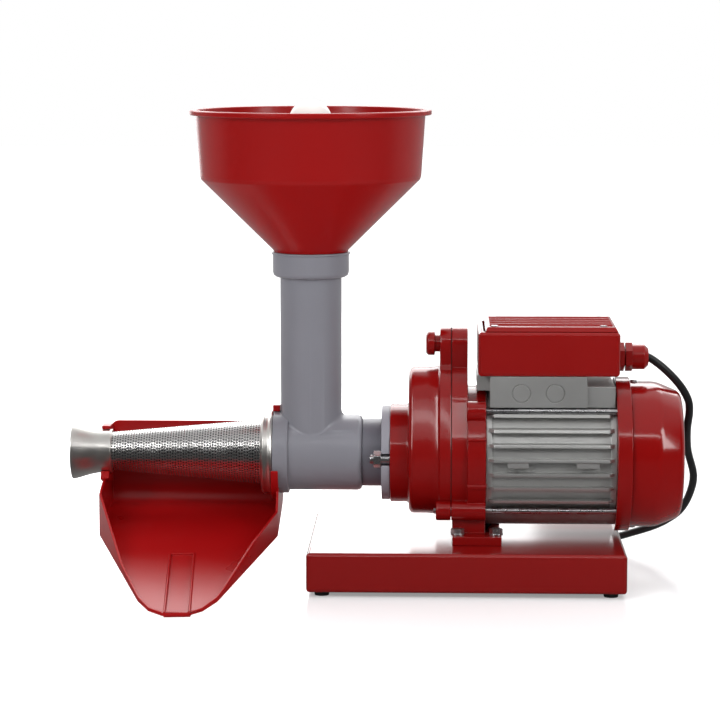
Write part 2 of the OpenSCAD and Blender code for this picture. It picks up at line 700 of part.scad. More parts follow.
fan_x0 = x_rear1 + spigot_l + 2;
module cooling_fan() color(black_rubber) difference() {
    union() {
        ring(fan_x0, 3, fan_r);
        ring(fan_x0, 10, motor_shaft_d / 2 + 4);
        along_x(fan_x0) for (i = [0:fan_n - 1]) rotate([0, 0, i * 360 / fan_n])
            translate([motor_shaft_d / 2 + 3, -1.2, 0]) cube([fan_r - motor_shaft_d / 2 - 4, 2.4, 12]);
    }
    ring(fan_x0 - 1, 30, motor_shaft_d / 2 - 1.5 + snug);
    ring(fan_x0 - 1, x_rear1 + 13.1 - fan_x0 + 1, motor_shaft_d / 2 + snug);
}

/* Gears */

// Involute flank point at roll angle t on a base circle
function flank(rb, t) = [rb * (cos(t) + t * PI / 180 * sin(t)), rb * (sin(t) - t * PI / 180 * cos(t))];
function turn(p, a) = [p[0] * cos(a) - p[1] * sin(a), p[0] * sin(a) + p[1] * cos(a)];

// One gear's outline, a tooth centred on the first axis
module gear_outline(m, z, play = 0.05) {
    r_pitch = m * z / 2;
    r_base = r_pitch * cos(20);
    r_tip = r_pitch + m * 0.94;
    r_root = r_pitch - m * 1.22;
    roll_tip = sqrt(pow(r_tip / r_base, 2) - 1) * 180 / PI;
    roll_pitch = tan(20) * 180 / PI;
    half = 90 / z + roll_pitch - 20 - play / r_pitch * 180 / PI;
    steps = z < 20 ? 4 : 3;
    side = [for (i = [0:steps]) turn(flank(r_base, roll_tip * i / steps), -half)];
    root = r_root < r_base ? [turn([r_root, 0], -half)] : [];
    tooth = concat(root, side, [for (i = [steps:-1:0]) [side[i][0], -side[i][1]]], [for (p = root) [p[0], -p[1]]]);
    polygon([for (k = [0:z - 1]) for (p = tooth) turn(p, k * 360 / z)]);
}

lay_gear_x = pinion_x0 + 2;
module layshaft_gear() color(steel) along_x(lay_gear_x) translate([0, lay_h]) difference() {
    linear_extrude(lay_gear_w) rotate([0, 0, 270 + 180 / lay_gear_z]) gear_outline(module_1, lay_gear_z);
    translate([0, 0, -1]) cylinder(h = lay_gear_w + 2, r = lay_shaft_d / 2 + 1 + snug);
    translate([0, 0, lay_gear_w - 2]) difference() {
        cylinder(h = 3, r = 26);
        cylinder(h = 3, r = 10);
    }
}

module motor_pinion() color(steel) along_x(pinion_x0) difference() {
    linear_extrude(lay_gear_w + 4) rotate([0, 0, 90]) gear_outline(module_1, pinion_z);
    translate([0, 0, -1]) cylinder(h = lay_gear_w + 6, r = 4 + snug);
}

out_gear_x = bearings_end + 1.2;
module output_gear() color(steel) along_x(out_gear_x) difference() {
    linear_extrude(out_gear_w) rotate([0, 0, 90]) gear_outline(module_2, out_gear_z);
    translate([0, 0, -1]) cylinder(h = out_gear_w + 2, r = out_shaft_d / 2 - 1 + snug);
    translate([0, 0, out_gear_w - 3]) difference() {
        cylinder(h = 4, r = 25);
        cylinder(h = 4, r = 15);
    }
}

lay_x0 = x_case0 + case_wall + lay_boss_l - bush_l + 0.5;
module layshaft() color(steel) along_x(lay_x0) translate([0, lay_h]) {
    cylinder(h = x_shield0 - 1.2 - lay_x0, r = lay_shaft_d / 2);
    translate([0, 0, lay_gear_x - lay_x0 + 0.1]) cylinder(h = lay_gear_w - 0.2, r = lay_shaft_d / 2 + 1);
    translate([0, 0, out_gear_x - lay_x0 - 0.5]) linear_extrude(out_gear_w + 1)
        rotate([0, 0, 270 + 180 / pinion_z]) gear_outline(module_2, pinion_z);
}

/* Output shaft and auger */

auger_x1 = x_neck0 - 4.8;
shaft_x0 = auger_x1 - 45;
pin_x = auger_x1 - 12;
module output_shaft() color(steel) difference() {
    union() {
        ring(shaft_x0, out_gear_x - 0.1 - shaft_x0, out_shaft_d / 2);
        ring(out_gear_x - 1, out_gear_w, out_shaft_d / 2 - 1);
    }
    translate([pin_x, 0, axis_z - 30]) cylinder(h = 60, r = 3 + snug);
}

module drive_pin() color(steel) translate([pin_x, 0, axis_z - core_r + 0.4]) cylinder(h = 2 * core_r - 0.8, r = 3);

cone_x0 = x_cone0 + 3;
flight_r = bore_r - auger_gap;
tip_r = cone_small_r - cone_t - auger_gap;
flight_arc = 360 * flight_t / flight_pitch;
function arc_points(r, a, n) = [for (i = [0:n]) [r * cos(-a / 2 + a * i / n), r * sin(-a / 2 + a * i / n)]];

// One stretch of the helical flight, as it stands across the axis
module flight_sector(r) polygon(concat([[r * 0.3, 0.6], [r * 0.3, -0.6]], arc_points(r, flight_arc, 3)));

cone_inner_big_r = cone_big_r - cone_t - auger_gap;
cone_part_l = x_mouth - cone_x0;
barrel_part_l = auger_x1 - x_mouth;
module auger() color([0.92, 0.92, 0.9]) difference() {
    union() {
        turned([[0, cone_x0], [tip_r * 0.6, cone_x0], [core_r, x_mouth], [core_r, auger_x1], [0, auger_x1]]);
        along_x(cone_x0) linear_extrude(cone_part_l, twist = -360 * cone_part_l / flight_pitch,
            scale = cone_inner_big_r / tip_r, slices = 96, $fn = 8) flight_sector(tip_r);
        along_x(x_mouth - 0.01) rotate([0, 0, 360 * cone_part_l / flight_pitch])
            linear_extrude(barrel_part_l - 4, twist = -360 * (barrel_part_l - 4) / flight_pitch, slices = 48, $fn = 8)
                flight_sector(flight_r);
    }
    ring(shaft_x0 - 1, 100, out_shaft_d / 2 + snug);
    translate([pin_x, 0, axis_z - 30]) cylinder(h = 60, r = 3 + snug);
}

/* Press body and its clamp */

module press_body() color(grey_plastic) difference() {
    union() {
        turned([[0, x_mouth], [band_r, x_mouth], [band_r, x_barrel0], [barrel_r, x_barrel0], [barrel_r, x_neck0 - 4],
            [barrel_r - 1.2, x_neck0 - 1.2], [barrel_r - 4, x_neck0], [0, x_neck0]]);
        translate([x_tube, 0, axis_z]) rotate_extrude() polygon([[0, 0], [tube_r, 0], [tube_r, collar_h0],
            [collar_r - 3, collar_h0 + 0.5], [collar_r - 0.8, collar_h0 + 2], [collar_r, collar_h0 + 5],
            [collar_r, collar_h1 - 2], [collar_r + 1.1, collar_h1 - 1.6], [collar_r + 1.1, collar_h1], [0, collar_h1]]);
    }
    ring(x_mouth - 1, x_neck0 - 4.4 - x_mouth + 1, bore_r);
    ring(x_mouth - 1, spigot_in + 1.5, spigot_r + 0.1);
    ring(x_mouth, 200, out_shaft_d / 2 + 1);
    translate([x_tube, 0, axis_z]) cylinder(h = collar_h1 + 1, r = tube_bore_r);
    translate([x_tube, 0, axis_z + collar_h1 - socket_h]) cylinder(h = socket_h + 1, r = socket_r);
}

module neck_sleeve() color([0.38, 0.37, 0.41]) ring(x_neck0, neck_l, neck_r, out_shaft_d / 2 + 2);

module clamp_flange() color([0.66, 0.66, 0.68]) difference() {
    ring(x_flange0, flange_t, flange_r, out_shaft_d / 2 + 2);
    for (s = [-1, 1]) translate([x_flange0 - 1, s > 0 ? stud_ring_r - slot_w / 2 : -flange_r - 1, axis_z - slot_w / 2])
        cube([flange_t + 2, flange_r + 1 - stud_ring_r + slot_w / 2, slot_w]);
}

nut_t = 6.5;
module clamp_studs() color(steel) for (s = [-1, 1]) along_x(x_flange0 - nut_t - 3) translate([s * stud_ring_r, 0])
    cylinder(h = nut_t + 3 + flange_t + stud_in - 0.5, d = stud_d);

module clamp_nuts() color(steel) for (s = [-1, 1]) along_x(x_flange0 - nut_t) translate([s * stud_ring_r, 0]) difference() {
    rotate([0, 0, 30]) hex(13, nut_t);
    translate([0, 0, -1]) cylinder(h = nut_t + 2, r = stud_d / 2 + snug);
}

/* Hopper and pestle */

hopper_seat_h = collar_h1 + 0.05;
wall_top_r = rim_r - lip_out;
cone_rise = (crease_h - 2.9 - hopper_seat_h) / (crease_r - 1 - cone_foot_r);
function cone_in(r) = hopper_seat_h + 1.5 + hopper_wall * sqrt(1 + cone_rise * cone_rise) + cone_rise * (r - cone_foot_r);
module hopper() color(red_plastic) translate([x_tube, 0, axis_z]) rotate_extrude() polygon([
    [socket_r - 0.3, hopper_seat_h - socket_h + 0.5], [socket_r - 0.3, hopper_seat_h], [cone_foot_r, hopper_seat_h],
    [cone_foot_r, hopper_seat_h + 1.5],
    [crease_r - 1, crease_h - 1.4], [crease_r, crease_h + 0.8], [wall_top_r, rim_h - lip_t], [rim_r - 0.6, rim_h - lip_t],
    [rim_r, rim_h - lip_t + 0.6], [rim_r, rim_h - 0.8], [rim_r - 0.8, rim_h], [wall_top_r - hopper_wall + 0.6, rim_h],
    [crease_r - hopper_wall, cone_in(crease_r - hopper_wall)],
    [tube_bore_r + 0.5, cone_in(tube_bore_r + 0.5)], [tube_bore_r + 0.5, hopper_seat_h - socket_h + 0.5]]);

pestle_h0 = flight_r + 0.32;
module pestle() color([0.95, 0.94, 0.92]) translate([x_tube, 0, axis_z]) {
    translate([0, 0, pestle_h0]) cylinder(h = pestle_h - pestle_r - pestle_h0, r = pestle_r);
    translate([0, 0, pestle_h - pestle_r]) sphere(pestle_r);
}

/* Filter */

module filter_cone() color(steel) {
    turned([[cone_big_r - cone_t, x_ring0 + 0.01], [cone_big_r, x_ring0], [cone_small_r, x_cone0], [cone_small_r - cone_t, x_cone0]]);
    ring(x_ring0, ring_l - 2, cone_big_r, cone_big_r - cone_t);
}
spigot_r = bore_r + 1.4;
spigot_in = 7;

module filter_ring() color(steel) turned([[cone_big_r + snug, x_ring0], [ring_r - 2, x_ring0], [ring_r, x_ring0 + 2],
    [ring_r - 0.8, x_ring0 + 4.6], [ring_r - 0.8, x_ring0 + 6.2], [ring_r, x_ring1 - 2], [ring_r - 1, x_ring1],
    [spigot_r, x_ring1], [spigot_r, x_mouth + spigot_in], [bore_r + 0.1, x_mouth + spigot_in], [bore_r + 0.1, x_ring1 - 1.9],
    [cone_big_r + snug, x_ring1 - 1.9]]);

nozzle_bend_x = x_cone0 - 7;
cone_slope = (cone_big_r - cone_small_r) / cone_l;
module nozzle() color(steel) turned([[cone_small_r + 4 * cone_slope + snug, x_cone0 + 4], [nozzle_neck_r, x_cone0 + 4], [nozzle_neck_r, nozzle_bend_x],
    [nozzle_neck_r + 1.1, nozzle_bend_x - 8], [nozzle_mouth_r - 2, x_nozzle0 + 7], [nozzle_mouth_r, x_nozzle0],
    [nozzle_mouth_r - nozzle_t, x_nozzle0], [nozzle_mouth_r - 2 - nozzle_t, x_nozzle0 + 7], [nozzle_neck_r + 1.1 - nozzle_t, nozzle_bend_x - 8],
    [nozzle_neck_r - nozzle_t, nozzle_bend_x], [cone_small_r - cone_t, x_cone0 - snug], [cone_small_r + snug, x_cone0 - snug]]);

/* Tray */

tray_x0 = x_cone0 - 3.4;
tray_x1 = x_mouth + 5.5;
tray_mid = (tray_x0 + tray_x1) / 2 + 3.5;
function tray_z(y) = tray_floor_z + tray_slope * y;

// The plan of the tray, its walls drawn in by an inset
module tray_plan(inset) {
    y_shoulder = -(tray_tip_y - 28);
    hull_w = tray_tip_half_w - inset;
    polygon([[tray_x0 + inset, tray_back_y - inset], [tray_x0 + inset, -tray_corner_y + inset * 0.2],
        [tray_mid - hull_w, y_shoulder], [tray_mid - hull_w * 0.68, y_shoulder - 18 + inset * 0.5], [tray_mid - hull_w * 0.3, -tray_tip_y + 1 + inset],
        [tray_mid + hull_w * 0.3, -tray_tip_y + 1 + inset], [tray_mid + hull_w * 0.68, y_shoulder - 18 + inset * 0.5], [tray_mid + hull_w, y_shoulder],
        [tray_x1 - inset, -tray_corner_y + inset * 0.2], [tray_x1 - inset, tray_back_y - inset]]);
}

// The tray's side view: everything above the floor's underside, or above its top when raised
module tray_side(raise, back, top) {
    r = tray_fillet_r - raise;
    tilt = atan(tray_slope);
    fy = back - r;
    fz = tray_z(fy) + raise + r / cos(tilt);
    difference() {
        union() {
            polygon([[fy + r * sin(tilt), fz - r * cos(tilt)], [-tray_tip_y - 30, tray_z(-tray_tip_y - 30) + raise],
                [-tray_tip_y - 30, top], [back, top], [back, fz], [fy, fz]]);
            translate([fy, fz]) circle(r);
        }
        translate([-tray_tip_y - 60, top]) square([tray_tip_y + 200, 200]);
    }
}

// What lies above the rim: cut away from the shell
module above_rim(corner_h, bend_y, bend_h) polygon([[tray_back_y - tray_t - 0.01, 400], [tray_back_y - tray_t - 0.01, axis_z - 8],
    [24, axis_z - 16], [-26, axis_z - 26], [-tray_corner_y, tray_z(-tray_corner_y) + corner_h], [bend_y, tray_z(bend_y) + bend_h],
    [-tray_tip_y + 42, tray_z(-tray_tip_y + 42) + tray_t + 3], [-tray_tip_y + 6, tray_z(-tray_tip_y + 6) + tray_t + 0.8],
    [-tray_tip_y - 20, tray_z(-tray_tip_y - 20) + tray_t + 0.8], [-tray_tip_y - 20, 400]]);

module side_extrude(x0, x1) translate([x0, 0, 0]) rotate([90, 0, 90]) linear_extrude(x1 - x0) children();

// A hook that clips round a round seat from below and behind
module hook(x, r_in, r_out, w = hook_w) side_extrude(x, x + w) translate([0, axis_z]) difference() {
    circle(r_out);
    circle(r_in);
    polygon([[0, 0], [-100 * cos(15), -100 * sin(15)], [-200, 0], [-100, 200], [-8, 100]]);
}

hook_gap = 0.35;
hook_left_r = nozzle_neck_r + hook_gap;
hook_right_r = band_r + hook_gap;
channel_depth = 1.8;
channel_y0 = -tray_tip_y + channel_l;

// A strip laid along the drain channel, from a height over the floor's underside
module channel_strip(w, z0, z1, x = 0) translate([tray_mid - 5, channel_y0, tray_z(channel_y0)])
    rotate([atan(tray_slope), 0, 0]) rotate([0, 0, 3.4]) translate([x - w / 2, -channel_l, z0]) cube([w, channel_l, z1 - z0]);

module tray() color(red_plastic) difference() {
    union() {
        intersection() {
            union() {
                channel_strip(channel_w, -channel_depth, 0.5);
                for (s = [-1, 1]) channel_strip(2, 0.2, tray_t + 1.2, s * (channel_w / 2 - 1));
            }
            linear_extrude(400) tray_plan(0);
        }
        intersection() {
            difference() {
                side_extrude(tray_x0 - 5, tray_x1 + 5) tray_side(0, tray_back_y, axis_z + tray_back_h);
                intersection() {
                    side_extrude(tray_x0 - 6, tray_x1 + 6) tray_side(tray_t, tray_back_y - tray_t, axis_z + tray_back_h + 50);
                    linear_extrude(400) tray_plan(tray_t);
                }
                side_extrude(tray_x0 - 6, tray_mid) above_rim(tray_side_h, -tray_corner_y - 73, tray_side_h * 0.2);
                side_extrude(tray_mid - 0.01, tray_x1 + 6) above_rim(tray_side_h * 0.6, -tray_corner_y - 54, tray_side_h * 0.47);
            }
            linear_extrude(400) tray_plan(0);
        }
        hook(tray_x0 - 2, hook_left_r, hook_left_r + 7.5);
        hook(tray_x1 - hook_w + 1.1, hook_right_r, hook_right_r + 5.6, hook_w - 1.1);
    }
    channel_strip(channel_w - 2 * 1.6, tray_t - channel_depth, 20);
    side_extrude(tray_x0 - 6, tray_x0 + 20) translate([0, axis_z]) circle(hook_left_r);
    side_extrude(tray_x1 - 20, tray_x1 + 6) translate([0, axis_z]) circle(hook_right_r);
}

/* Terminal base, box and what is in it */

seat_x0 = motor_x + 3;
seat_low_l = 24.5;
seat_top_z = axis_z + box_h0;
module terminal_base() color(cast_alloy) difference() {
    union() {
        translate([seat_x0, -seat_w / 2, axis_z + 30]) cube([seat_l, seat_w, box_h0 - 30]);
        translate([seat_x0 + seat_l - 1, -seat_w / 2 + 4, axis_z + 30]) cube([seat_low_l + 1, seat_w - 8, box_h0 - 30 - 9]);
        translate([seat_x0 - 11, -seat_w / 2 + 10, seat_top_z - 13.5]) cube([12, seat_w - 20, 13.5]);
    }
    translate([seat_x0 - 20, -100, axis_z]) cube([200, 200, box_h0 - 27]);
    ring(motor_x - 20, stator_l + 30, fin_r + 0.02);
    translate([seat_x0 + 12, -24, axis_z]) cube([seat_l - 24, 18, 100]);
    for (x = [27, 56]) translate([seat_x0 + x, -seat_w / 2, seat_top_z - 14.6]) rotate([90, 0, 0])
        translate([0, 0, -0.8]) difference() {
            cylinder(h = 2, d = knockout_d);
            translate([0, 0, -1]) cylinder(h = 4, d = knockout_d - 1.2);
        }
}

box_x0 = motor_x - 7.4;
box_mid = box_x0 + box_l / 2;
box_top_z = seat_top_z + box_h;
module capacitor_box() color(red_enamel) difference() {
    union() {
        translate([box_mid, 0, seat_top_z + 0.02]) difference() {
            soft_block(box_l, box_w, box_h, box_r);
            translate([0, 0, box_wall]) linear_extrude(box_h)
                rounded_rect(box_l - 2 * box_wall - 5, box_w - 2 * box_wall - 5, box_r);
            translate([0, 0, box_wall]) linear_extrude(box_h - 6)
                rounded_rect(box_l - 2 * box_wall, box_w - 2 * box_wall, box_r - box_wall + 0.5);
        }
        at_lid_screws() translate([0, 0, box_wall - box_h]) cylinder(h = box_h - box_wall, r = 4.5);
    }
    translate([seat_x0 + 12, -24, seat_top_z - 1]) cube([seat_l - 24, 18, 5]);
    translate([box_x0 + box_l - 8, gland_y, gland_z]) rotate([0, 90, 0]) cylinder(h = 10, r = gland_thread_r + snug);
    translate([box_mid + 15, box_w / 2, switch_z]) cube([switch_w - 4, 20, switch_h - 4], center = true);
    at_lid_screws() translate([0, 0, -8]) cylinder(h = 20, r = 1.6);
}

module at_lid_screws() for (sx = [-1, 1], sy = [-1, 1])
    translate([box_mid + sx * (box_l / 2 - 14), sy * (box_w / 2 - 11), box_top_z]) children();

module box_lid() color(red_enamel) difference() {
    translate([box_mid + 2, 0, box_top_z - 0.5]) union() {
        hull() {
            translate([0, 0, 0.6]) linear_extrude(0.1) square([box_l - 8, box_w - 5], center = true);
            translate([0, 0, lid_h - 0.6]) linear_extrude(0.1) square([box_l - 12, box_w - 9], center = true);
        }
        for (i = [-2:2]) translate([0, i * 14, lid_h - 0.6]) rotate([0, 90, 0]) translate([0, 0, -(box_l - 16) / 2])
            cylinder(h = box_l - 16, r = 1.5);
    }
    at_lid_screws() translate([0, 0, -8]) cylinder(h = 20, r = 1.7);
    at_lid_screws() translate([0, 0, lid_h - 1.9]) cylinder(h = 20, r = 4);
}

module lid_screws() color(steel) at_lid_screws() {
    translate([0, 0, -6]) cylinder(h = lid_h + 4.2, r = 1.6 - snug);
    translate([0, 0, lid_h - 1.9]) cylinder(h = 1.6, r = 3);
}

capacitor_r = 15.9;
capacitor_l = 62;
module capacitor() color([0.85, 0.85, 0.83]) translate([seat_x0 + 12, 12, seat_top_z + box_wall + capacitor_r + 0.05])
    rotate([0, 90, 0]) cylinder(h = capacitor_l, r = capacitor_r);

module terminal_block() color([0.2, 0.2, 0.2]) difference() {
    translate([seat_x0 + 20, -42, seat_top_z + box_wall + 0.05]) cube([44, 17, 12]);
    for (i = [0:5]) translate([seat_x0 + 24.5 + i * 7, -33.5, seat_top_z + 9]) cylinder(h = 10, r = 2.2);
}

switch_z = seat_top_z + box_h / 2;
module switch_housing() color(black_rubber) translate([box_mid + 15, box_w / 2, switch_z]) difference() {
    union() {
        translate([-switch_w / 2, 0, -switch_h / 2]) cube([switch_w, 2, switch_h]);
        translate([-switch_w / 2 + 2.1, -16, -switch_h / 2 + 2.1]) cube([switch_w - 4.2, 17, switch_h - 4.2]);
    }
    translate([-switch_w / 2 + 5, -10, -switch_h / 2 + 4.4]) cube([switch_w - 10, 20, switch_h - 8.8]);
    translate([0, -2, 0]) cylinder(h = switch_h - 5, r = 1.05, center = true);
}

module rocker() color([0.7, 0.08, 0.08]) translate([box_mid + 15, box_w / 2 - 2, switch_z]) {
    difference() {
        rotate([0, 0, -9]) translate([-switch_w / 2 + 6.4, -5, -switch_h / 2 + 4.8]) cube([switch_w - 12.8, 8.2, switch_h - 9.6]);
        translate([-20, -20, -20]) cube([40, 16, 40]);
    }
    cylinder(h = switch_h - 5.4, r = 1, center = true);
}

gland_y = 0;
gland_z = seat_top_z + 12;
gland_thread_r = 8;
gland_x0 = box_x0 + box_l;
module gland_body() color(red_enamel) translate([gland_x0, gland_y, gland_z]) rotate([0, 90, 0]) difference() {
    union() {
        translate([0, 0, -9]) cylinder(h = 21, r = gland_thread_r);
        translate([0, 0, 0.02]) hex(gland_af, 6);
    }
    translate([0, 0, -20]) cylinder(h = 60, r = cord_d / 2 + 0.3);
}

module gland_locknut() color(steel) translate([gland_x0 - box_wall - 4.05, gland_y, gland_z]) rotate([0, 90, 0]) difference() {
    rotate([0, 0, 30]) hex(gland_af - 4, 4);
    translate([0, 0, -1]) cylinder(h = 6, r = gland_thread_r + snug);
}

module gland_nut() color(red_enamel) translate([gland_x0 + 7, gland_y, gland_z]) rotate([0, 90, 0]) difference() {
    union() {
        cylinder(h = gland_nut_l * 0.8, r = gland_af / 2);
        hex(gland_af, gland_nut_l * 0.3);
        intersection() {
            cylinder(h = gland_nut_l, r1 = gland_af / 2 + 16, r2 = gland_af / 2 - 3.5);
            cylinder(h = gland_nut_l, r = gland_af / 2);
        }
    }
    translate([0, 0, -1]) cylinder(h = 60, r = cord_d / 2 + snug);
    translate([0, 0, gland_nut_l - 6]) cylinder(h = 6.2, r1 = cord_d / 2, r2 = cord_d / 2 + 1.6);
    translate([0, 0, -1]) cylinder(h = 6.2, r = gland_thread_r + snug);
}

/* Mains lead */

cord_r = cord_d / 2;
coil_centre = [40, 158, 0];
coil_r = 38.5;
coil_w = 3 * cord_d + 0.3;
coil_h = 2 * cord_d + 0.2;
gland_end = gland_x0 + 7 + gland_nut_l;
// The lead's way: where it stands off the gland's end, then down to the table
lead_off = [[-18, 0, 0], [-9, 0, 0], [-5, 0, 0], [0.2, 0, -0.25], [12.6, 0, -9], [26.8, 4, -23.4], [36, 12, -38], [38.6, 20, -50.5], [38.1, 33, -69.5]];
lead_low = [[199, 50, 104], [206, 66, 79], [204, 82, 58], [197, 96, 41], [185, 108, 29], [173, 116, 21.5], [160, 122, 16],
    [145, 126.5, 10.5], [128, 128, 6.2], [110, 125.5, 4.2], [92, 120.5, 3.6], [coil_centre[0] + 28.9, coil_centre[1] - 43.75, 3.6]];
cord_points = concat([for (p = lead_off) p + [gland_end, gland_y, gland_z]], lead_low);
// A smooth curve through the points, four rings to a step
function lead_point(i, t) =
    let (a = cord_points[max(i - 1, 0)], b = cord_points[i], c = cord_points[i + 1], d = cord_points[min(i + 2, len(cord_points) - 1)])
    0.5 * (2 * b + (c - a) * t + (2 * a - 5 * b + 4 * c - d) * t * t + (3 * b - a - 3 * c + d) * t * t * t);
lead = concat([for (i = [0:len(cord_points) - 2]) for (k = [0:2]) lead_point(i, k / 3)], [cord_points[len(cord_points) - 1]]);
function unit(v) = v / norm(v);
sides = 10;
function lead_ring(i) =
    let (u = unit(lead[min(i + 1, len(lead) - 1)] - lead[max(i - 1, 0)]),
         v = unit(cross(u, [0.05, 0.1, 1])), w = cross(u, v))
    [for (k = [0:sides - 1]) lead[i] + cord_r * (cos(360 * k / sides) * v + sin(360 * k / sides) * w)];
module cord() color(black_rubber) polyhedron(
    points = [for (i = [0:len(lead) - 1]) each lead_ring(i)],
    faces = concat([[for (k = [0:sides - 1]) k]],
        [for (i = [0:len(lead) - 2]) for (k = [0:sides - 1])
            [i * sides + k, (i + 1) * sides + k, (i + 1) * sides + (k + 1) % sides, i * sides + (k + 1) % sides]],
        [[for (k = [sides - 1:-1:0]) (len(lead) - 1) * sides + k]]));

module cord_coil() color(black_rubber) translate(coil_centre + [0, 0, coil_h / 2 + 0.02]) rotate_extrude()
    translate([coil_r, 0]) square([coil_w, coil_h], center = true);

// The flat plug lies behind the base, in line with the coil's outermost turn
plug_y = coil_centre[1] - coil_r - coil_w / 2 + cord_r;
plug_x1 = coil_centre[0] - 27.5 - relief_l;
module plug_body() color(black_rubber) difference() {
    union() {
        translate([plug_x1 - plug_l / 2, plug_y, 0.02]) soft_block(plug_l, plug_w, plug_t, 5);
        translate([plug_x1 - 1, plug_y, plug_t / 2]) rotate([0, 90, 0]) cylinder(h = relief_l + 1, r1 = cord_r + 3, r2 = cord_r + 1);
    }
    for (i = [-1, 0, 1]) translate([plug_x1 - plug_l - 1, plug_y + i * 9.5, plug_t / 2]) rotate([0, 90, 0]) cylinder(h = 11, r = 2 + snug);
}

module plug_pins() color(steel) for (i = [-1, 0, 1]) translate([plug_x1 - plug_l - 19, plug_y + i * 9.5, plug_t / 2])
    rotate([0, 90, 0]) cylinder(h = 28.5, r = 2);

base_plate();
rubber_feet();
gear_case_front();
gear_case_rear();
case_gasket();
grease_plug();
foot_bolts();
foot_nuts();
stator_frame();
stator_core();
stator_windings();
tie_rods();
tie_rod_nuts();
rear_shield();
motor_bearings();
output_bearings();
layshaft_bushes();
output_seal();
fan_cover();
fan_cover_screws();
terminal_base();
capacitor_box();
box_lid();
lid_screws();
capacitor();
terminal_block();
gland_body();
gland_locknut();
gland_nut();
switch_housing();
rocker();
press_body();
neck_sleeve();
clamp_flange();
clamp_studs();
clamp_nuts();
cord();
cord_coil();
plug_body();
plug_pins();
hopper();
pestle();
filter_cone();
filter_ring();
nozzle();
tray();
auger();
drive_pin();
output_shaft();
output_gear();
layshaft();
layshaft_gear();
rotor_core();
motor_shaft();
motor_pinion();
cooling_fan();
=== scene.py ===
import bmesh
import bpy
import json
import math
from mathutils import Matrix, Vector


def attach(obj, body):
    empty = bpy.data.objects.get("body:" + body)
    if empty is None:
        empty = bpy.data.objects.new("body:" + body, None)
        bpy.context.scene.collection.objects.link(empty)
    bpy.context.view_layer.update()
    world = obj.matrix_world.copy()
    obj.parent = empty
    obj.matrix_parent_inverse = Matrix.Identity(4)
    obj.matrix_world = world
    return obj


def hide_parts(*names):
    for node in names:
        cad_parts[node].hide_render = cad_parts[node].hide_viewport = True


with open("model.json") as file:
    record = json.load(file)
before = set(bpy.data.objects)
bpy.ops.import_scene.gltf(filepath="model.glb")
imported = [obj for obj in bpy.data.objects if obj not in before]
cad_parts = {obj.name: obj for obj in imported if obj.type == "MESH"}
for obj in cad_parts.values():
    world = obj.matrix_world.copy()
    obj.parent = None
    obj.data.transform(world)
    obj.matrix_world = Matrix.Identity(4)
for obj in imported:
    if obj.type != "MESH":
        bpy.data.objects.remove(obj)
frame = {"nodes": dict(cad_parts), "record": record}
nodes = frame["nodes"]
slot_of = {part["node"]: part["material_slot"] for part in frame["record"]["subparts"]}
bodies = frame["record"]["behaviour"]["bodies"]
body_with = {node: body for body, members in bodies.items() for node in members}
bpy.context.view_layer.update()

# The camera stands 2.25 m in front of the press, a little above it, and looks slightly
# down and to the left. Its place was solved from the upright and level edges of the photograph.
camera_at = Vector((-0.0200, -2.2500, 0.4826))
yaw = math.radians(1.863)
pitch = math.radians(7.385)
look = Vector((-math.sin(yaw) * math.cos(pitch), math.cos(yaw) * math.cos(pitch), -math.sin(pitch)))
side = Vector((math.cos(yaw), math.sin(yaw), 0))
above = side.cross(look)
lens = bpy.data.cameras.new("camera")
lens.lens = 129.55
lens.sensor_width = 36
camera = bpy.data.objects.new("camera", lens)
camera.matrix_world = Matrix((
    (side.x, above.x, -look.x, camera_at.x),
    (side.y, above.y, -look.y, camera_at.y),
    (side.z, above.z, -look.z, camera_at.z),
    (0, 0, 0, 1)))
bpy.context.scene.collection.objects.link(camera)
bpy.context.scene.camera = camera
bpy.context.scene.view_settings.view_transform = "Standard"


# Mains lead: round black PVC, 7 mm thick, clamped in the gland of the capacitor box. It falls past the
# fan cover to the table behind the base. The rest is wound into a flat coil there, with its moulded
# plug lying beside it.
LEAD_D = 0.007
COIL_X, COIL_Y, COIL_R = 0.040, 0.158, 0.0385
TURNS, PER_TURN = 6, 24
LYING_Z = 0.0036
gland_end = (0.1584, 0.0, 0.1947)
lead_off = [(-18, 0, 0), (-9, 0, 0), (-5, 0, 0), (0.2, 0, -0.25), (12.6, 0, -9), (26.8, 4, -23.4),
            (36, 12, -38), (38.6, 20, -50.5), (38.1, 33, -69.5)]
lead_low = [(199, 50, 104), (206, 66, 79), (204, 82, 58), (197, 96, 41), (185, 108, 29), (173, 116, 21.5),
            (160, 122, 16), (145, 126.5, 10.5), (128, 127.3, 6.2), (110, 124.5, 4.2), (92, 120.2, 3.6),
            (74, 116.2, 3.6)]
knots = [Vector((gland_end[0] + x / 1000, gland_end[1] + y / 1000, gland_end[2] + z / 1000))
         for x, y, z in lead_off]
knots += [Vector((x / 1000, y / 1000, z / 1000)) for x, y, z in lead_low]


def smooth_way(points, steps):
    """The points with a smooth curve laid through them, some steps for each span."""
    out = []
    last = len(points) - 1
    for i in range(last):
        a, b, c, d = points[max(i - 1, 0)], points[i], points[i + 1], points[min(i + 2, last)]
        for k in range(steps):
            t = k / steps
            out.append(0.5 * (2 * b + (c - a) * t + (2 * a - 5 * b + 4 * c - d) * t * t
                              + (3 * b - a - 3 * c + d) * t ** 3))
    out.append(points[-1])
    return out


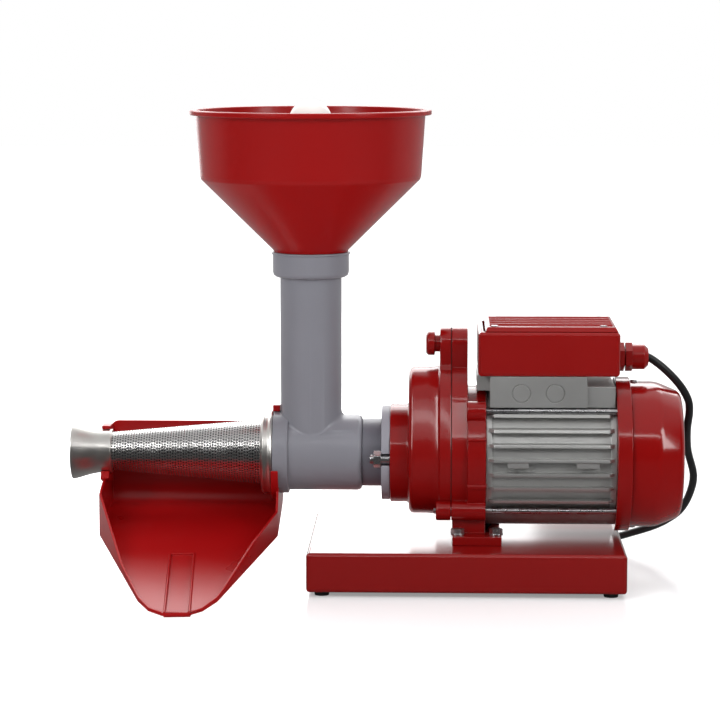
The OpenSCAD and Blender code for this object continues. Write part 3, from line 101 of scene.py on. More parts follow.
# The turns run clockwise from the point nearest the base: in on the lower layer, out on the upper.
turns = []
for i in range(TURNS * PER_TURN + 1):
    u = i / PER_TURN
    a = math.radians(-90) - 2 * math.pi * u
    outward = 1 - min(u, TURNS - u) / (TURNS / 2)
    r = COIL_R - LEAD_D + 2 * LEAD_D * outward
    z = LYING_Z + LEAD_D * min(1, max(0, (u - 2.75) / 0.5))
    turns.append(Vector((COIL_X + r * math.cos(a), COIL_Y + r * math.sin(a), z)))
plug_side = COIL_Y - COIL_R - LEAD_D
tail = [Vector((x, plug_side, z)) for x, z in ((0.026, 0.0104), (0.0125, 0.0085), (0.004, 0.008))]
way = smooth_way(knots, 4) + smooth_way([knots[-1]] + turns[:1], 3)[1:-1] + turns + tail
line = bpy.data.curves.new("mains_lead", "CURVE")
line.dimensions = "3D"
line.bevel_depth = LEAD_D / 2
line.bevel_resolution = 4
line.use_fill_caps = True
spline = line.splines.new("POLY")
spline.points.add(len(way) - 1)
for point, co in zip(spline.points, way):
    point.co = (co.x, co.y, co.z, 1)
spline.use_smooth = True
swept = bpy.data.objects.new("swept_lead", line)
bpy.context.scene.collection.objects.link(swept)
bpy.context.view_layer.update()
tube = bpy.data.meshes.new_from_object(swept.evaluated_get(bpy.context.evaluated_depsgraph_get()))
bpy.data.objects.remove(swept)
mains_lead = bpy.data.objects.new("mains_lead", tube)
bpy.context.scene.collection.objects.link(mains_lead)
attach(mains_lead, "machine")
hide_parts("cord", "cord_coil")


def grain_group():
    """Fine skin of a moulding or casting: a height for Bump, and masks for roughness and colour."""
    tree = bpy.data.node_groups.new("skin_grain", "ShaderNodeTree")
    for name in ("Grain per metre", "Drift per metre", "Roughness", "Roughness spread"):
        tree.interface.new_socket(name, in_out="INPUT", socket_type="NodeSocketFloat")
    tree.interface.new_socket("Colour", in_out="INPUT", socket_type="NodeSocketColor")
    tree.interface.new_socket("Colour spread", in_out="INPUT", socket_type="NodeSocketFloat")
    tree.interface.new_socket("Height", in_out="OUTPUT", socket_type="NodeSocketFloat")
    tree.interface.new_socket("Rough", in_out="OUTPUT", socket_type="NodeSocketFloat")
    tree.interface.new_socket("Tint", in_out="OUTPUT", socket_type="NodeSocketColor")
    n, l = tree.nodes, tree.links
    given = n.new("NodeGroupInput")
    made = n.new("NodeGroupOutput")
    place = n.new("ShaderNodeTexCoord")
    fine = n.new("ShaderNodeTexNoise")
    fine.inputs["Detail"].default_value = 4
    drift = n.new("ShaderNodeTexNoise")
    drift.inputs["Detail"].default_value = 3
    l.new(place.outputs["Object"], fine.inputs["Vector"])
    l.new(given.outputs["Grain per metre"], fine.inputs["Scale"])
    l.new(place.outputs["Object"], drift.inputs["Vector"])
    l.new(given.outputs["Drift per metre"], drift.inputs["Scale"])
    l.new(fine.outputs["Fac"], made.inputs["Height"])
    centred = n.new("ShaderNodeMath")
    centred.operation = "SUBTRACT"
    centred.inputs[1].default_value = 0.5
    l.new(drift.outputs["Fac"], centred.inputs[0])
    spread = n.new("ShaderNodeMath")
    spread.operation = "MULTIPLY_ADD"
    l.new(centred.outputs[0], spread.inputs[0])
    l.new(given.outputs["Roughness spread"], spread.inputs[1])
    l.new(given.outputs["Roughness"], spread.inputs[2])
    l.new(spread.outputs[0], made.inputs["Rough"])
    shade = n.new("ShaderNodeMath")
    shade.operation = "MULTIPLY_ADD"
    shade.inputs[2].default_value = 1
    l.new(centred.outputs[0], shade.inputs[0])
    l.new(given.outputs["Colour spread"], shade.inputs[1])
    tint = n.new("ShaderNodeVectorMath")
    tint.operation = "SCALE"
    l.new(given.outputs["Colour"], tint.inputs[0])
    l.new(shade.outputs[0], tint.inputs["Scale"])
    l.new(tint.outputs[0], made.inputs["Tint"])
    return tree


skin_grain = grain_group()


def finish(name, colour, rough, grain=900, drift=25, rough_spread=0.12, tint=0.12, bump=0.00002, metallic=0.0,
           coat=0.0, coat_rough=0.1, specular=0.35):
    """One material made of the shared skin grain, with its own colour, gloss and depth."""
    material = bpy.data.materials.new(name)
    material.use_nodes = True
    n, l = material.node_tree.nodes, material.node_tree.links
    shader = n["Principled BSDF"]
    group = n.new("ShaderNodeGroup")
    group.node_tree = skin_grain
    group.inputs["Grain per metre"].default_value = grain
    group.inputs["Drift per metre"].default_value = drift
    group.inputs["Roughness"].default_value = rough
    group.inputs["Roughness spread"].default_value = rough_spread
    group.inputs["Colour"].default_value = (*colour, 1)
    group.inputs["Colour spread"].default_value = tint
    relief = n.new("ShaderNodeBump")
    relief.inputs["Distance"].default_value = bump
    relief.inputs["Strength"].default_value = 1
    l.new(group.outputs["Tint"], shader.inputs["Base Color"])
    l.new(group.outputs["Rough"], shader.inputs["Roughness"])
    l.new(group.outputs["Height"], relief.inputs["Height"])
    l.new(relief.outputs["Normal"], shader.inputs["Normal"])
    shader.inputs["Metallic"].default_value = metallic
    shader.inputs["Coat Weight"].default_value = coat
    shader.inputs["Coat Roughness"].default_value = coat_rough
    shader.inputs["Specular IOR Level"].default_value = specular
    return material


def dress(material, *names):
    """Gives solids of the frame a material."""
    for name in names:
        nodes[name].data.materials.clear()
        nodes[name].data.materials.append(material)


lead_pvc = finish("lead_pvc", (0.012, 0.012, 0.013), 0.38, grain=1500, rough_spread=0.1, bump=0.00001)
mains_lead.data.materials.append(lead_pvc)
dress(lead_pvc, "plug_body")
bright_zinc = finish("bright_zinc", (0.62, 0.62, 0.63), 0.28, grain=700, drift=120, rough_spread=0.25,
                     tint=0.2, bump=0.00002, metallic=1.0)
dress(bright_zinc, "plug_pins")


# Base plate: mild steel sheet folded down on four sides, with a return flange underneath,
# baked with thick glossy red enamel. Everything else is bolted to its top.
def closed_mesh(name, points, faces):
    """A mesh with its doubles merged and its faces turned outwards."""
    mesh = bpy.data.meshes.new(name)
    mesh.from_pydata([tuple(p) for p in points], [], faces)
    shell = bmesh.new()
    shell.from_mesh(mesh)
    bmesh.ops.remove_doubles(shell, verts=shell.verts, dist=1e-7)
    bmesh.ops.recalc_face_normals(shell, faces=shell.faces)
    shell.to_mesh(mesh)
    shell.free()
    return mesh


def joined(*shells):
    """The points and faces of several shells as one list of each."""
    points, faces = [], []
    for some_points, some_faces in shells:
        faces += [tuple(i + len(points) for i in face) for face in some_faces]
        points += some_points
    return points, faces


def cut_away(mesh, shells):
    """The mesh with closed shells of points and faces cut out of it."""
    solid = bpy.data.objects.new("solid", mesh)
    tool = bpy.data.objects.new("tool", closed_mesh("tool", *joined(*shells)))
    for obj in (solid, tool):
        bpy.context.scene.collection.objects.link(obj)
    cutting = solid.modifiers.new("cutting", "BOOLEAN")
    cutting.operation = "DIFFERENCE"
    cutting.solver = "EXACT"
    cutting.object = tool
    bpy.context.view_layer.update()
    result = bpy.data.meshes.new_from_object(solid.evaluated_get(bpy.context.evaluated_depsgraph_get()))
    for obj in (solid, tool):
        bpy.data.objects.remove(obj)
    result.name = mesh.name
    shell = bmesh.new()
    shell.from_mesh(result)
    bmesh.ops.remove_doubles(shell, verts=shell.verts, dist=2e-6)
    shell.to_mesh(result)
    shell.free()
    return result


def weigh_normals(obj):
    """Lets the large faces set the normals, so that they look flat right up to their eased edges."""
    weighing = obj.modifiers.new("weighing", "WEIGHTED_NORMAL")
    weighing.keep_sharp = True
    bpy.context.view_layer.update()
    mesh = bpy.data.meshes.new_from_object(obj.evaluated_get(bpy.context.evaluated_depsgraph_get()))
    obj.modifiers.clear()
    obj.data = mesh


def add_piece(name, points, faces, body, slot, material, *stands_for, crease=32, cuts=(), flat_faced=False):
    """A finished piece from points and faces, riding on a body and standing for solids of the frame."""
    mesh = closed_mesh(name, points, faces)
    for shells in cuts:
        mesh = cut_away(mesh, shells)
    mesh.shade_smooth()
    mesh.set_sharp_from_angle(angle=math.radians(crease))
    mesh.materials.clear()
    mesh.materials.append(material)
    obj = bpy.data.objects.new(name, mesh)
    bpy.context.scene.collection.objects.link(obj)
    if flat_faced:
        weigh_normals(obj)
    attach(obj, body)
    if stands_for:
        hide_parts(*stands_for)
        dress(material, *stands_for)
    return obj


def softened(node, material, width=0.4, segments=2, angle=32, extra=(), cuts=()):
    """A copy of a solid with its sharp edges eased by a width in millimetres, standing for the solid."""
    shell = bmesh.new()
    shell.from_mesh(nodes[node].data)
    bmesh.ops.remove_doubles(shell, verts=shell.verts, dist=2e-6)
    bmesh.ops.dissolve_degenerate(shell, edges=shell.edges, dist=2e-6)
    for shells in cuts:
        whole = bpy.data.meshes.new(node)
        shell.to_mesh(whole)
        shell.clear()
        shell.from_mesh(cut_away(whole, shells))
    bmesh.ops.dissolve_limit(shell, angle_limit=math.radians(0.6), verts=shell.verts, edges=shell.edges)
    sharp = [e for e in shell.edges if len(e.link_faces) == 2 and e.calc_face_angle(0) > math.radians(angle)]
    bmesh.ops.bevel(shell, geom=sharp, offset=width / 1000, segments=segments, profile=0.5, affect="EDGES",
                    clamp_overlap=False)
    points = [v.co.copy() for v in shell.verts]
    shell.verts.index_update()
    faces = [tuple(v.index for v in f.verts) for f in shell.faces]
    shell.free()
    points, faces = joined((points, faces), *extra)
    return add_piece(node + "_eased", points, faces, body_with[node], slot_of[node], material, node,
                     crease=angle + 3, flat_faced=True)


base_enamel = finish("base_enamel", (0.215, 0.0018, 0.0014), 0.42, grain=350, drift=14, rough_spread=0.06,
                     tint=0.10, bump=0.000008, coat=1.0, coat_rough=0.16, specular=0.12)
softened("base_plate", base_enamel, width=0.5, segments=2)


# Rubber feet: four black push-in buffers, each with a stem that snaps through a hole
# in the return flange under a corner of the base.
foot_rubber = finish("foot_rubber", (0.015, 0.015, 0.015), 0.7, grain=2500, bump=0.00004)
dress(foot_rubber, "rubber_feet")


# Gear case: two die-cast alloy halves with a paper gasket between them, sprayed with red enamel over a
# slightly rough casting. The front half has a well rounded edge, a boss for the press, two lugs and the
# plug lobe. The rear half carries the foot pads and the motor's front shield.
AXIS_Z = 109
CASE_LOW_R, CASE_TOP_R, CASE_RISE = 52.8, 38.5, 37.5
CASE_FRONT, CASE_EDGE_R, SEAM, RIM_X = -50.1, 4.5, -13.4, -23.2
LOBE_Z, LOBE_R = 97, 14
LUG_R, TIE_R = 8.6, 61.4
cast_enamel = finish("cast_enamel", (0.215, 0.0028, 0.0026), 0.20, grain=260, drift=18, rough_spread=0.1,
                     tint=0.12, bump=0.00005, coat=0.3, coat_rough=0.07)
gasket_paper = finish("gasket_paper", (0.03, 0.012, 0.012), 0.7)


def across(u, v, h):
    """A point from its place across the axis, sideways and up, and its station along it."""
    return (h / 1000, u / 1000, (AXIS_Z + v) / 1000)


def eased(corners, closed=True, steps=4):
    """Corners (x, y, radius) of an outline, each rounded off by its radius."""
    out = []
    last = len(corners) - 1
    for i, (x, y, r) in enumerate(corners):
        p = Vector((x, y))
        if r <= 0 or (not closed and i in (0, last)):
            out.append(p)
            continue
        a = (Vector(corners[i - 1][:2]) - p)
        b = (Vector(corners[(i + 1) % (last + 1)][:2]) - p)
        half = a.angle(b) / 2
        reach = min(r / math.tan(half), 0.49 * a.length, 0.49 * b.length)
        centre = p + (a.normalized() + b.normalized()).normalized() * (reach / math.cos(half))
        first = p + a.normalized() * reach - centre
        final = p + b.normalized() * reach - centre
        swing = first.angle_signed(final)
        for k in range(steps + 1):
            t = -swing * k / steps
            out.append(centre + Vector((first.x * math.cos(t) - first.y * math.sin(t),
                                        first.x * math.sin(t) + first.y * math.cos(t))))
    return out


def spun(outline, place, steps=96):
    """Points and faces of a closed outline of (radius, height) turned about an axis."""
    points, faces = [], []
    count = len(outline)
    for k in range(steps):
        a = 2 * math.pi * k / steps
        points += [place(r * math.cos(a), r * math.sin(a), h) for r, h in outline]
    for k in range(steps):
        a, b = k * count, (k + 1) % steps * count
        for i in range(count):
            j = (i + 1) % count
            if outline[i][0] > 1e-6 or outline[j][0] > 1e-6:
                faces.append((a + i, a + j, b + j, b + i))
    return points, faces


def lofted(loops, round_again=True):
    """Points and faces of a row of loops with one count of points, joined in turn."""
    points = [p for loop in loops for p in loop]
    count = len(loops[0])
    faces = []
    for k in range(len(loops) - (0 if round_again else 1)):
        a, b = k * count, (k + 1) % len(loops) * count
        for i in range(count):
            j = (i + 1) % count
            faces.append((a + i, a + j, b + j, b + i))
    if not round_again:
        faces += [tuple(range(count)), tuple(range(len(points) - count, len(points)))]
    return points, faces


def case_loop(grow, x, steps=20):
    """The outline of the case across the axis, grown by some millimetres, at a station."""
    low, top = CASE_LOW_R + grow, CASE_TOP_R + grow
    tilt = math.asin((CASE_LOW_R - CASE_TOP_R) / CASE_RISE)
    loop = []
    for k in range(steps + 1):
        a = tilt + (math.pi - 2 * tilt) * k / steps
        loop.append((top * math.cos(a), CASE_RISE + top * math.sin(a)))
    for k in range(2 * steps + 1):
        a = math.pi - tilt + (math.pi + 2 * tilt) * k / (2 * steps)
        loop.append((low * math.cos(a), low * math.sin(a)))
    return [across(u, v, x) for u, v in loop]


def round_loop(radius, x):
    """A circle about the axis whose points lie opposite those of the case's outline."""
    loop = []
    for _, u, v in case_loop(0, 0):
        a = math.atan2(v - AXIS_Z / 1000, u)
        loop.append(across(radius * math.cos(a), radius * math.sin(a), x))
    return loop


def on_ring(radius, degrees):
    """A point on a circle, sideways and up from its middle."""
    return radius * math.cos(math.radians(degrees)), radius * math.sin(math.radians(degrees))


def stub(u0, v0, outline, steps=40):
    """A small turned shell whose axis runs along the press, from (radius, x) corners."""
    return spun(eased(outline, steps=3), lambda u, v, h: across(u + u0, v + v0, h), steps)


def lobe_loop(grow, x):
    """The outline of the plug lobe on top of the case, at a station."""
    corners = [(LOBE_R, LOBE_Z, 0)]
    for a in range(9, 180, 9):
        u, v = on_ring(LOBE_R, a)
        corners.append((u, LOBE_Z + v, 0))
    corners += [(-LOBE_R, LOBE_Z, 0), (-LOBE_R, 79, 5), (-22, 71.5, 0), (22, 71.5, 0), (LOBE_R, 79, 5)]
    middle = Vector((0, 90))
    return [across(*(p + (p - middle).normalized() * grow), x) for p in eased(corners, steps=3)]


front_loops = []
for k in range(7):
    back, out = on_ring(CASE_EDGE_R, 15 * k)
    front_loops.append(case_loop(out - CASE_EDGE_R, CASE_FRONT + CASE_EDGE_R - back))
rim_sweep = [(0.1, -34), (0.5, -29), (1.1, -26.6), (1.5, -25.0), (1.9, -23.9), (2.6, -23.35), (3.2, RIM_X),
             (3.6, -22.7), (3.6, -13.9), (3.3, SEAM), (-3.5, SEAM), (-3.5, -46.0)]
front_loops += [case_loop(grow, x) for grow, x in rim_sweep]
boss_turn = [(27.5, -46.0), (27.5, -38), (13, -38), (13, -65.6), (21.2, -65.6), (21.2, -66.2), (42.4, -66.2),
             (43.0, -65.8), (43.2, -65.2), (43.2, -52.3), (43.6, -50.9), (44.8, -50.15)]
front_loops += [round_loop(r, x) for r, x in boss_turn]
lug_outline = [(4.0, -26.3, 0), (LUG_R, -26.3, 1.6), (LUG_R, SEAM, 0.4), (4.0, SEAM, 0)]
lugs = [stub(*on_ring(TIE_R, a), lug_outline) for a in (225, 315)]
lobe_sweep = [(-1.2, RIM_X), (-0.4, -22.8), (0, -22), (0, -13.8), (-0.4, SEAM)]
lobe = lofted([lobe_loop(grow, x) for grow, x in lobe_sweep], round_again=False)
add_piece("gear_case_front_cast", *joined(lofted(front_loops), lobe, *lugs), "machine", "red_enamel",
          cast_enamel, "gear_case_front")
softened("gear_case_rear", cast_enamel, width=0.7, segments=3)
softened("case_gasket", gasket_paper, width=0.08, segments=1)


# Filler plug: a turned and enamelled cap with a round head, screwed into the lobe
# on top of the case to keep the grease in.
plug_outline = [(0, -35.3, 0), (8.6, -35.3, 1.0), (10.5, -33.4, 1.4), (10.5, -27.9, 0.8), (7.5, -27.3, 0.3),
                (7.5, -23.25, 0), (5.9, -23.25, 0), (5.9, -16.5, 0), (0, -16.5, 0)]
add_piece("grease_plug_cap", *stub(0, LOBE_Z, plug_outline, steps=64), "machine", "red_enamel", cast_enamel,
          "grease_plug")


# Gear train: a pinion on the motor shaft drives the layshaft, and its pinion drives the output gear.
# Cut steel gears and ground shafts run in ball bearings and bronze bushes behind a rubber seal.
gear_steel = finish("gear_steel", (0.35, 0.35, 0.37), 0.3, metallic=1.0)
dress(gear_steel, "output_gear", "layshaft", "layshaft_gear", "motor_pinion")
ground_steel = finish("ground_steel", (0.5, 0.5, 0.51), 0.25, grain=900, drift=60, metallic=1.0)
dress(ground_steel, "motor_bearings", "output_bearings", "output_shaft", "motor_shaft")
bronze = finish("bronze", (0.45, 0.27, 0.09), 0.4, metallic=1.0)
dress(bronze, "layshaft_bushes")
seal_rubber = finish("seal_rubber", (0.02, 0.02, 0.02), 0.6)
dress(seal_rubber, "output_seal")


# Foot bolts: cold-formed hexagon bolts with washers, bright zinc plated. They hold the
# case's two foot pads to the base, with nuts underneath.
softened("foot_bolts", bright_zinc, width=0.35)
dress(bright_zinc, "foot_nuts")


# Motor: a bare die-cast aluminium frame with level fins, shrunk on the stator core, between the gear
# case and an enamelled rear shield. Inside are the copper windings and the rotor.
cast_aluminium = finish("cast_aluminium", (0.50, 0.50, 0.49), 0.45, grain=450, drift=30, rough_spread=0.15,
                        tint=0.18, bump=0.00008, metallic=0.75)
softened("stator_frame", cast_aluminium, width=0.45, segments=2)
core_iron = finish("core_iron", (0.12, 0.12, 0.125), 0.5, metallic=0.9)
dress(core_iron, "stator_core", "rotor_core")
copper = finish("copper", (0.42, 0.13, 0.05), 0.35, metallic=0.6)
dress(copper, "stator_windings")
softened("rear_shield", cast_enamel, width=1.0, segments=3)


# Tie rods: four 5 mm steel rods, zinc plated and threaded at their front ends. They draw the
# gear case, the stator frame and the rear shield together, with a nut on each end.
TIE_OFF = 43.42
TIE_REAR_X = 141.5


def threaded_rod(u, v, x0, thread0, thread1, x1, radius=2.5, pitch=0.8, depth=0.42, edge=0.5):
    """A rod along the axis with cut thread from one station to another."""
    outline = [(0, x0), (radius - edge, x0), (radius, x0 + edge), (radius, thread0)]
    for k in range(round((thread1 - thread0) / pitch)):
        outline += [(radius - depth, thread0 + pitch * (k + 0.5)), (radius, thread0 + pitch * (k + 1))]
    outline += [(radius, x1 - edge), (radius - edge, x1), (0, x1)]
    return spun([Vector(p) for p in outline], lambda a, b, h: across(u + a, v + b, h), 24)


rods = [threaded_rod(way_out * TIE_OFF, -TIE_OFF, -28.3, -27.5, -15, TIE_REAR_X) for way_out in (-1, 1)]
rods += [threaded_rod(way_out * TIE_OFF, TIE_OFF, 3.5, 4.5, 44, TIE_REAR_X) for way_out in (-1, 1)]
add_piece("tie_rods_threaded", *joined(*rods), "machine", slot_of["tie_rods"], bright_zinc, "tie_rods")
softened("tie_rod_nuts", bright_zinc, width=0.3)


# Fan cover: a deep-drawn steel cap, enamelled red, pushed over the rear shield and held by small screws.
# Five rings of slots are punched through its flat face, in front of a black plastic fan.
COVER_R, COVER_OPEN_X, COVER_FACE_X, COVER_SHEET = 63.6, 142.3, 187.2, 1.6
GRILLE_RINGS, GRILLE_PITCH, SLOT_WIDTH = 5, 8, 4.5
SECTORS, SLOT_SWEEP = 6, 48
red_enamel = finish("red_enamel", (0.225, 0.0022, 0.0020), 0.16, grain=350, drift=14, rough_spread=0.08,
                    tint=0.10, bump=0.000012, coat=0.35, coat_rough=0.05)
cover_outline = eased([
    (0, COVER_FACE_X - COVER_SHEET, 0), (53.4, COVER_FACE_X - COVER_SHEET, 6.5), (61.95, 165.0, 22),
    (COVER_R - COVER_SHEET, COVER_OPEN_X, 0), (COVER_R, COVER_OPEN_X, 0.4), (COVER_R, 165.2, 24),
    (54.4, COVER_FACE_X, 7.8), (0, COVER_FACE_X, 0)], steps=8)


def arc_slot(inner, outer, start, sweep, x0, x1, steps=12):
    """A closed shell that cuts one curved slot through a disc across the axis."""
    edges = ((inner, x0), (outer, x0), (outer, x1), (inner, x1))
    turned = [start + sweep * k / steps for k in range(steps + 1)]
    return lofted([[across(*on_ring(r, a), x) for r, x in edges] for a in turned], round_again=False)


grille = []
for ring in range(1, GRILLE_RINGS + 1):
    near = GRILLE_PITCH * ring
    for sector in range(SECTORS):
        grille.append(arc_slot(near, near + SLOT_WIDTH, 360 / SECTORS * sector + 6, SLOT_SWEEP,
                               COVER_FACE_X - 3.2, COVER_FACE_X + 1.8))
add_piece("fan_cover_drawn", *spun(cover_outline, across, 160), "machine", "red_enamel", red_enamel,
          "fan_cover", cuts=[grille])
dress(bright_zinc, "fan_cover_screws")
fan_plastic = finish("fan_plastic", (0.02, 0.02, 0.022), 0.45)
dress(fan_plastic, "cooling_fan")


# Terminal base: a die-cast aluminium seat on top of the stator frame, with two round
# knock-outs in its front. The black terminal block is screwed down inside it.
softened("terminal_base", cast_aluminium, width=0.6, segments=2)
dress(fan_plastic, "terminal_block")


# Capacitor box: a glossy red moulding on the terminal base, with a ribbed lid held by four screws. It holds
# the white motor capacitor, and the rocker switch is snapped into its back wall.
box_red = finish("box_red", (0.235, 0.0025, 0.0020), 0.24, grain=600, drift=20, rough_spread=0.1, tint=0.1,
                 bump=0.00002, coat=0.2, coat_rough=0.12)
softened("capacitor_box", box_red, width=0.5, segments=2)
softened("box_lid", box_red, width=0.5, segments=2)
dress(bright_zinc, "lid_screws")
can_white = finish("can_white", (0.7, 0.7, 0.68), 0.4)
dress(can_white, "capacitor")
dress(fan_plastic, "switch_housing")
dress(box_red, "rocker")


# Cable gland: a moulded body screwed through the wall of the box, with a locknut inside. Its dome nut
# narrows towards the lead and grips it as a strain relief.
softened("gland_body", box_red, width=0.3)
softened("gland_nut", box_red, width=0.4)
dress(box_red, "gland_locknut")


# Clamp: a light grey moulded flange with open slots, on two zinc-plated studs with hexagon nuts
# in front of the gear case's boss. The darker neck sleeve runs through it to the press body.
flange_grey = finish("flange_grey", (0.27, 0.265, 0.30), 0.4)
softened("clamp_flange", flange_grey, width=0.8, segments=3)
softened("clamp_nuts", bright_zinc, width=0.5)
softened("clamp_studs", bright_zinc, width=0.6)
neck_grey = finish("neck_grey", (0.130, 0.127, 0.150), 0.38)
softened("neck_sleeve", neck_grey, width=0.8, segments=3)


# Press body: one thick grey moulding of feed tube, collar and barrel, pushed over the neck sleeve.
# A small fillet runs round where the feed tube meets the barrel.
TUBE_X = -136
TUBE_R, BARREL_R = 26.7, 33.1
body_grey = finish("body_grey", (0.212, 0.212, 0.240), 0.34, grain=800, drift=22, rough_spread=0.1, tint=0.08,
                   bump=0.00003, coat=0.15, coat_rough=0.2)


def upright(u, v, h):
    """A point from its place beside the feed tube's middle and its height over the axis."""
    return ((u + TUBE_X) / 1000, v / 1000, (AXIS_Z + h) / 1000)


def tube_fillet(radius=4.5, steps=96, arc=6):
    """A closed shell that fills the corner between feed tube and barrel."""
    loops = []
    for k in range(steps):
        a = 2 * math.pi * k / steps
        c = Vector(((TUBE_R + radius) * math.cos(a), (TUBE_R + radius) * math.sin(a), 0))
        c.z = math.sqrt((BARREL_R + radius) ** 2 - c.y ** 2)
        to_tube = Vector((-math.cos(a), -math.sin(a), 0))
        to_barrel = Vector((0, -c.y, -c.z)).normalized()
        loop = []
        for i in range(arc + 1):
            facing = to_tube.slerp(to_barrel, i / arc)
            loop.append(c + facing * (radius - 0.02))
        loop.append(c + (to_tube + to_barrel).normalized() * (radius * 1.9))
        loops.append([upright(p.x, p.y, p.z) for p in loop])
    return lofted(loops)


softened("press_body", body_grey, width=0.7, segments=3, angle=50, extra=[tube_fillet()])


# Auger: a dark moulded screw that carries the pulp through barrel and cone. A ground steel pin
# through its shank is driven by a slot in the output shaft.
auger_grey = finish("auger_grey", (0.07, 0.07, 0.074), 0.5, grain=800)
dress(auger_grey, "auger")
dress(ground_steel, "drive_pin")


# Filter: a stainless cone rolled from sheet with a fine staggered field of holes, crimped into a
# turned ring that plugs into the barrel. Every hole is open; the patches of sheet lie in rows on the cone.
CONE_X0, CONE_X1, CONE_R0, CONE_R1 = -315.4, -179.0, 16.4, 28.4
HOLE_PITCH, HOLE_ROW, HOLE_R, SHEET = 2.7, 2.34, 0.33, 0.7
inox = finish("inox", (0.66, 0.65, 0.64), 0.24, grain=900, drift=60, rough_spread=0.15, tint=0.15, metallic=1.0)
# The hole walls and the underside of the sheet get a near-black steel finish: painted shade that makes the
# holes look dark.
inox_inside = finish("inox_inside", (0.06, 0.06, 0.06), 0.6, grain=900, drift=60, metallic=0.5)
satin_inox = finish("satin_inox", (0.74, 0.72, 0.69), 0.32, grain=700, drift=90, rough_spread=0.12,
                    tint=0.15, metallic=1.0)
dress(inox, "filter_cone")


def sheet_patch():
    """One patch of sheet, 1 by 1 in its own plane, with a round hole through its middle."""
    points, faces = [], []
    sides = 8
    for k in range(sides):
        a = 2 * math.pi * k / sides
        edge = 0.5 / max(abs(math.cos(a)), abs(math.sin(a)))
        for reach, depth in ((edge, 0), (HOLE_R, 0), (HOLE_R, -SHEET), (edge, -SHEET)):
            points.append((reach * math.cos(a), reach * math.sin(a), depth / 1000))
    for k in range(sides):
        a, b = 4 * k, 4 * ((k + 1) % sides)
        for i in range(3):
            faces.append((a + i, b + i, b + i + 1, a + i + 1))
    mesh = bpy.data.meshes.new("sheet_patch")
    mesh.from_pydata(points, [], faces)
    # The hole wall and the underside of each patch are flagged to take the painted shade finish.
    painted_shade_faces = mesh.attributes.new("inner", "BOOLEAN", "FACE")
    for i in range(len(faces)):
        painted_shade_faces.data[i].value = i % 3 > 0
    shell = bmesh.new()
    shell.from_mesh(mesh)
    bmesh.ops.recalc_face_normals(shell, faces=shell.faces)
    if sum(f.normal.z * f.calc_area() for f in shell.faces if f.calc_center_median().z > -1e-6) < 0:
        bmesh.ops.reverse_faces(shell, faces=shell.faces)
    shell.to_mesh(mesh)
    shell.free()
    mesh.materials.append(inox)
    obj = bpy.data.objects.new("sheet_patch", mesh)
    bpy.context.scene.collection.objects.link(obj)
    return obj


def hole_rows():
    """One point for each hole, with the turn and the size of its patch kept as attributes."""
    slope = math.atan2(CONE_R1 - CONE_R0, CONE_X1 - CONE_X0)
    rows = round((CONE_X1 - CONE_X0 - 5) / HOLE_ROW)
    step = (CONE_X1 - CONE_X0 - 5) / rows
    places, turns_of, sizes = [], [], []
    for row in range(rows):
        x = CONE_X0 + 4 + step * (row + 0.5)
        r = CONE_R0 + (x - CONE_X0) * math.tan(slope)
        count = round(2 * math.pi * r / HOLE_PITCH)
        for k in range(count):
            a = 2 * math.pi * (k + 0.5 * (row % 2)) / count
            out = Vector((0, math.cos(a), math.sin(a)))
            normal = out * math.cos(slope) - Vector((1, 0, 0)) * math.sin(slope)
            along = Vector((0, -math.sin(a), math.cos(a)))
            up = normal.cross(along)
            matrix = Matrix((along, up, normal)).transposed()
            places.append(across(r * out.y, r * out.z, x))
            turns_of.append(matrix.to_euler())
            sizes.append((2 * math.pi * r / count / 1000, step / math.cos(slope) / 1000, 1))
    mesh = bpy.data.meshes.new("filter_cone_sheet")
    mesh.from_pydata(places, [], [])
    turn = mesh.attributes.new("patch_turn", "FLOAT_VECTOR", "POINT")
    size = mesh.attributes.new("patch_size", "FLOAT_VECTOR", "POINT")
    for i in range(len(places)):
        turn.data[i].vector = turns_of[i]
        size.data[i].vector = sizes[i]
    return mesh


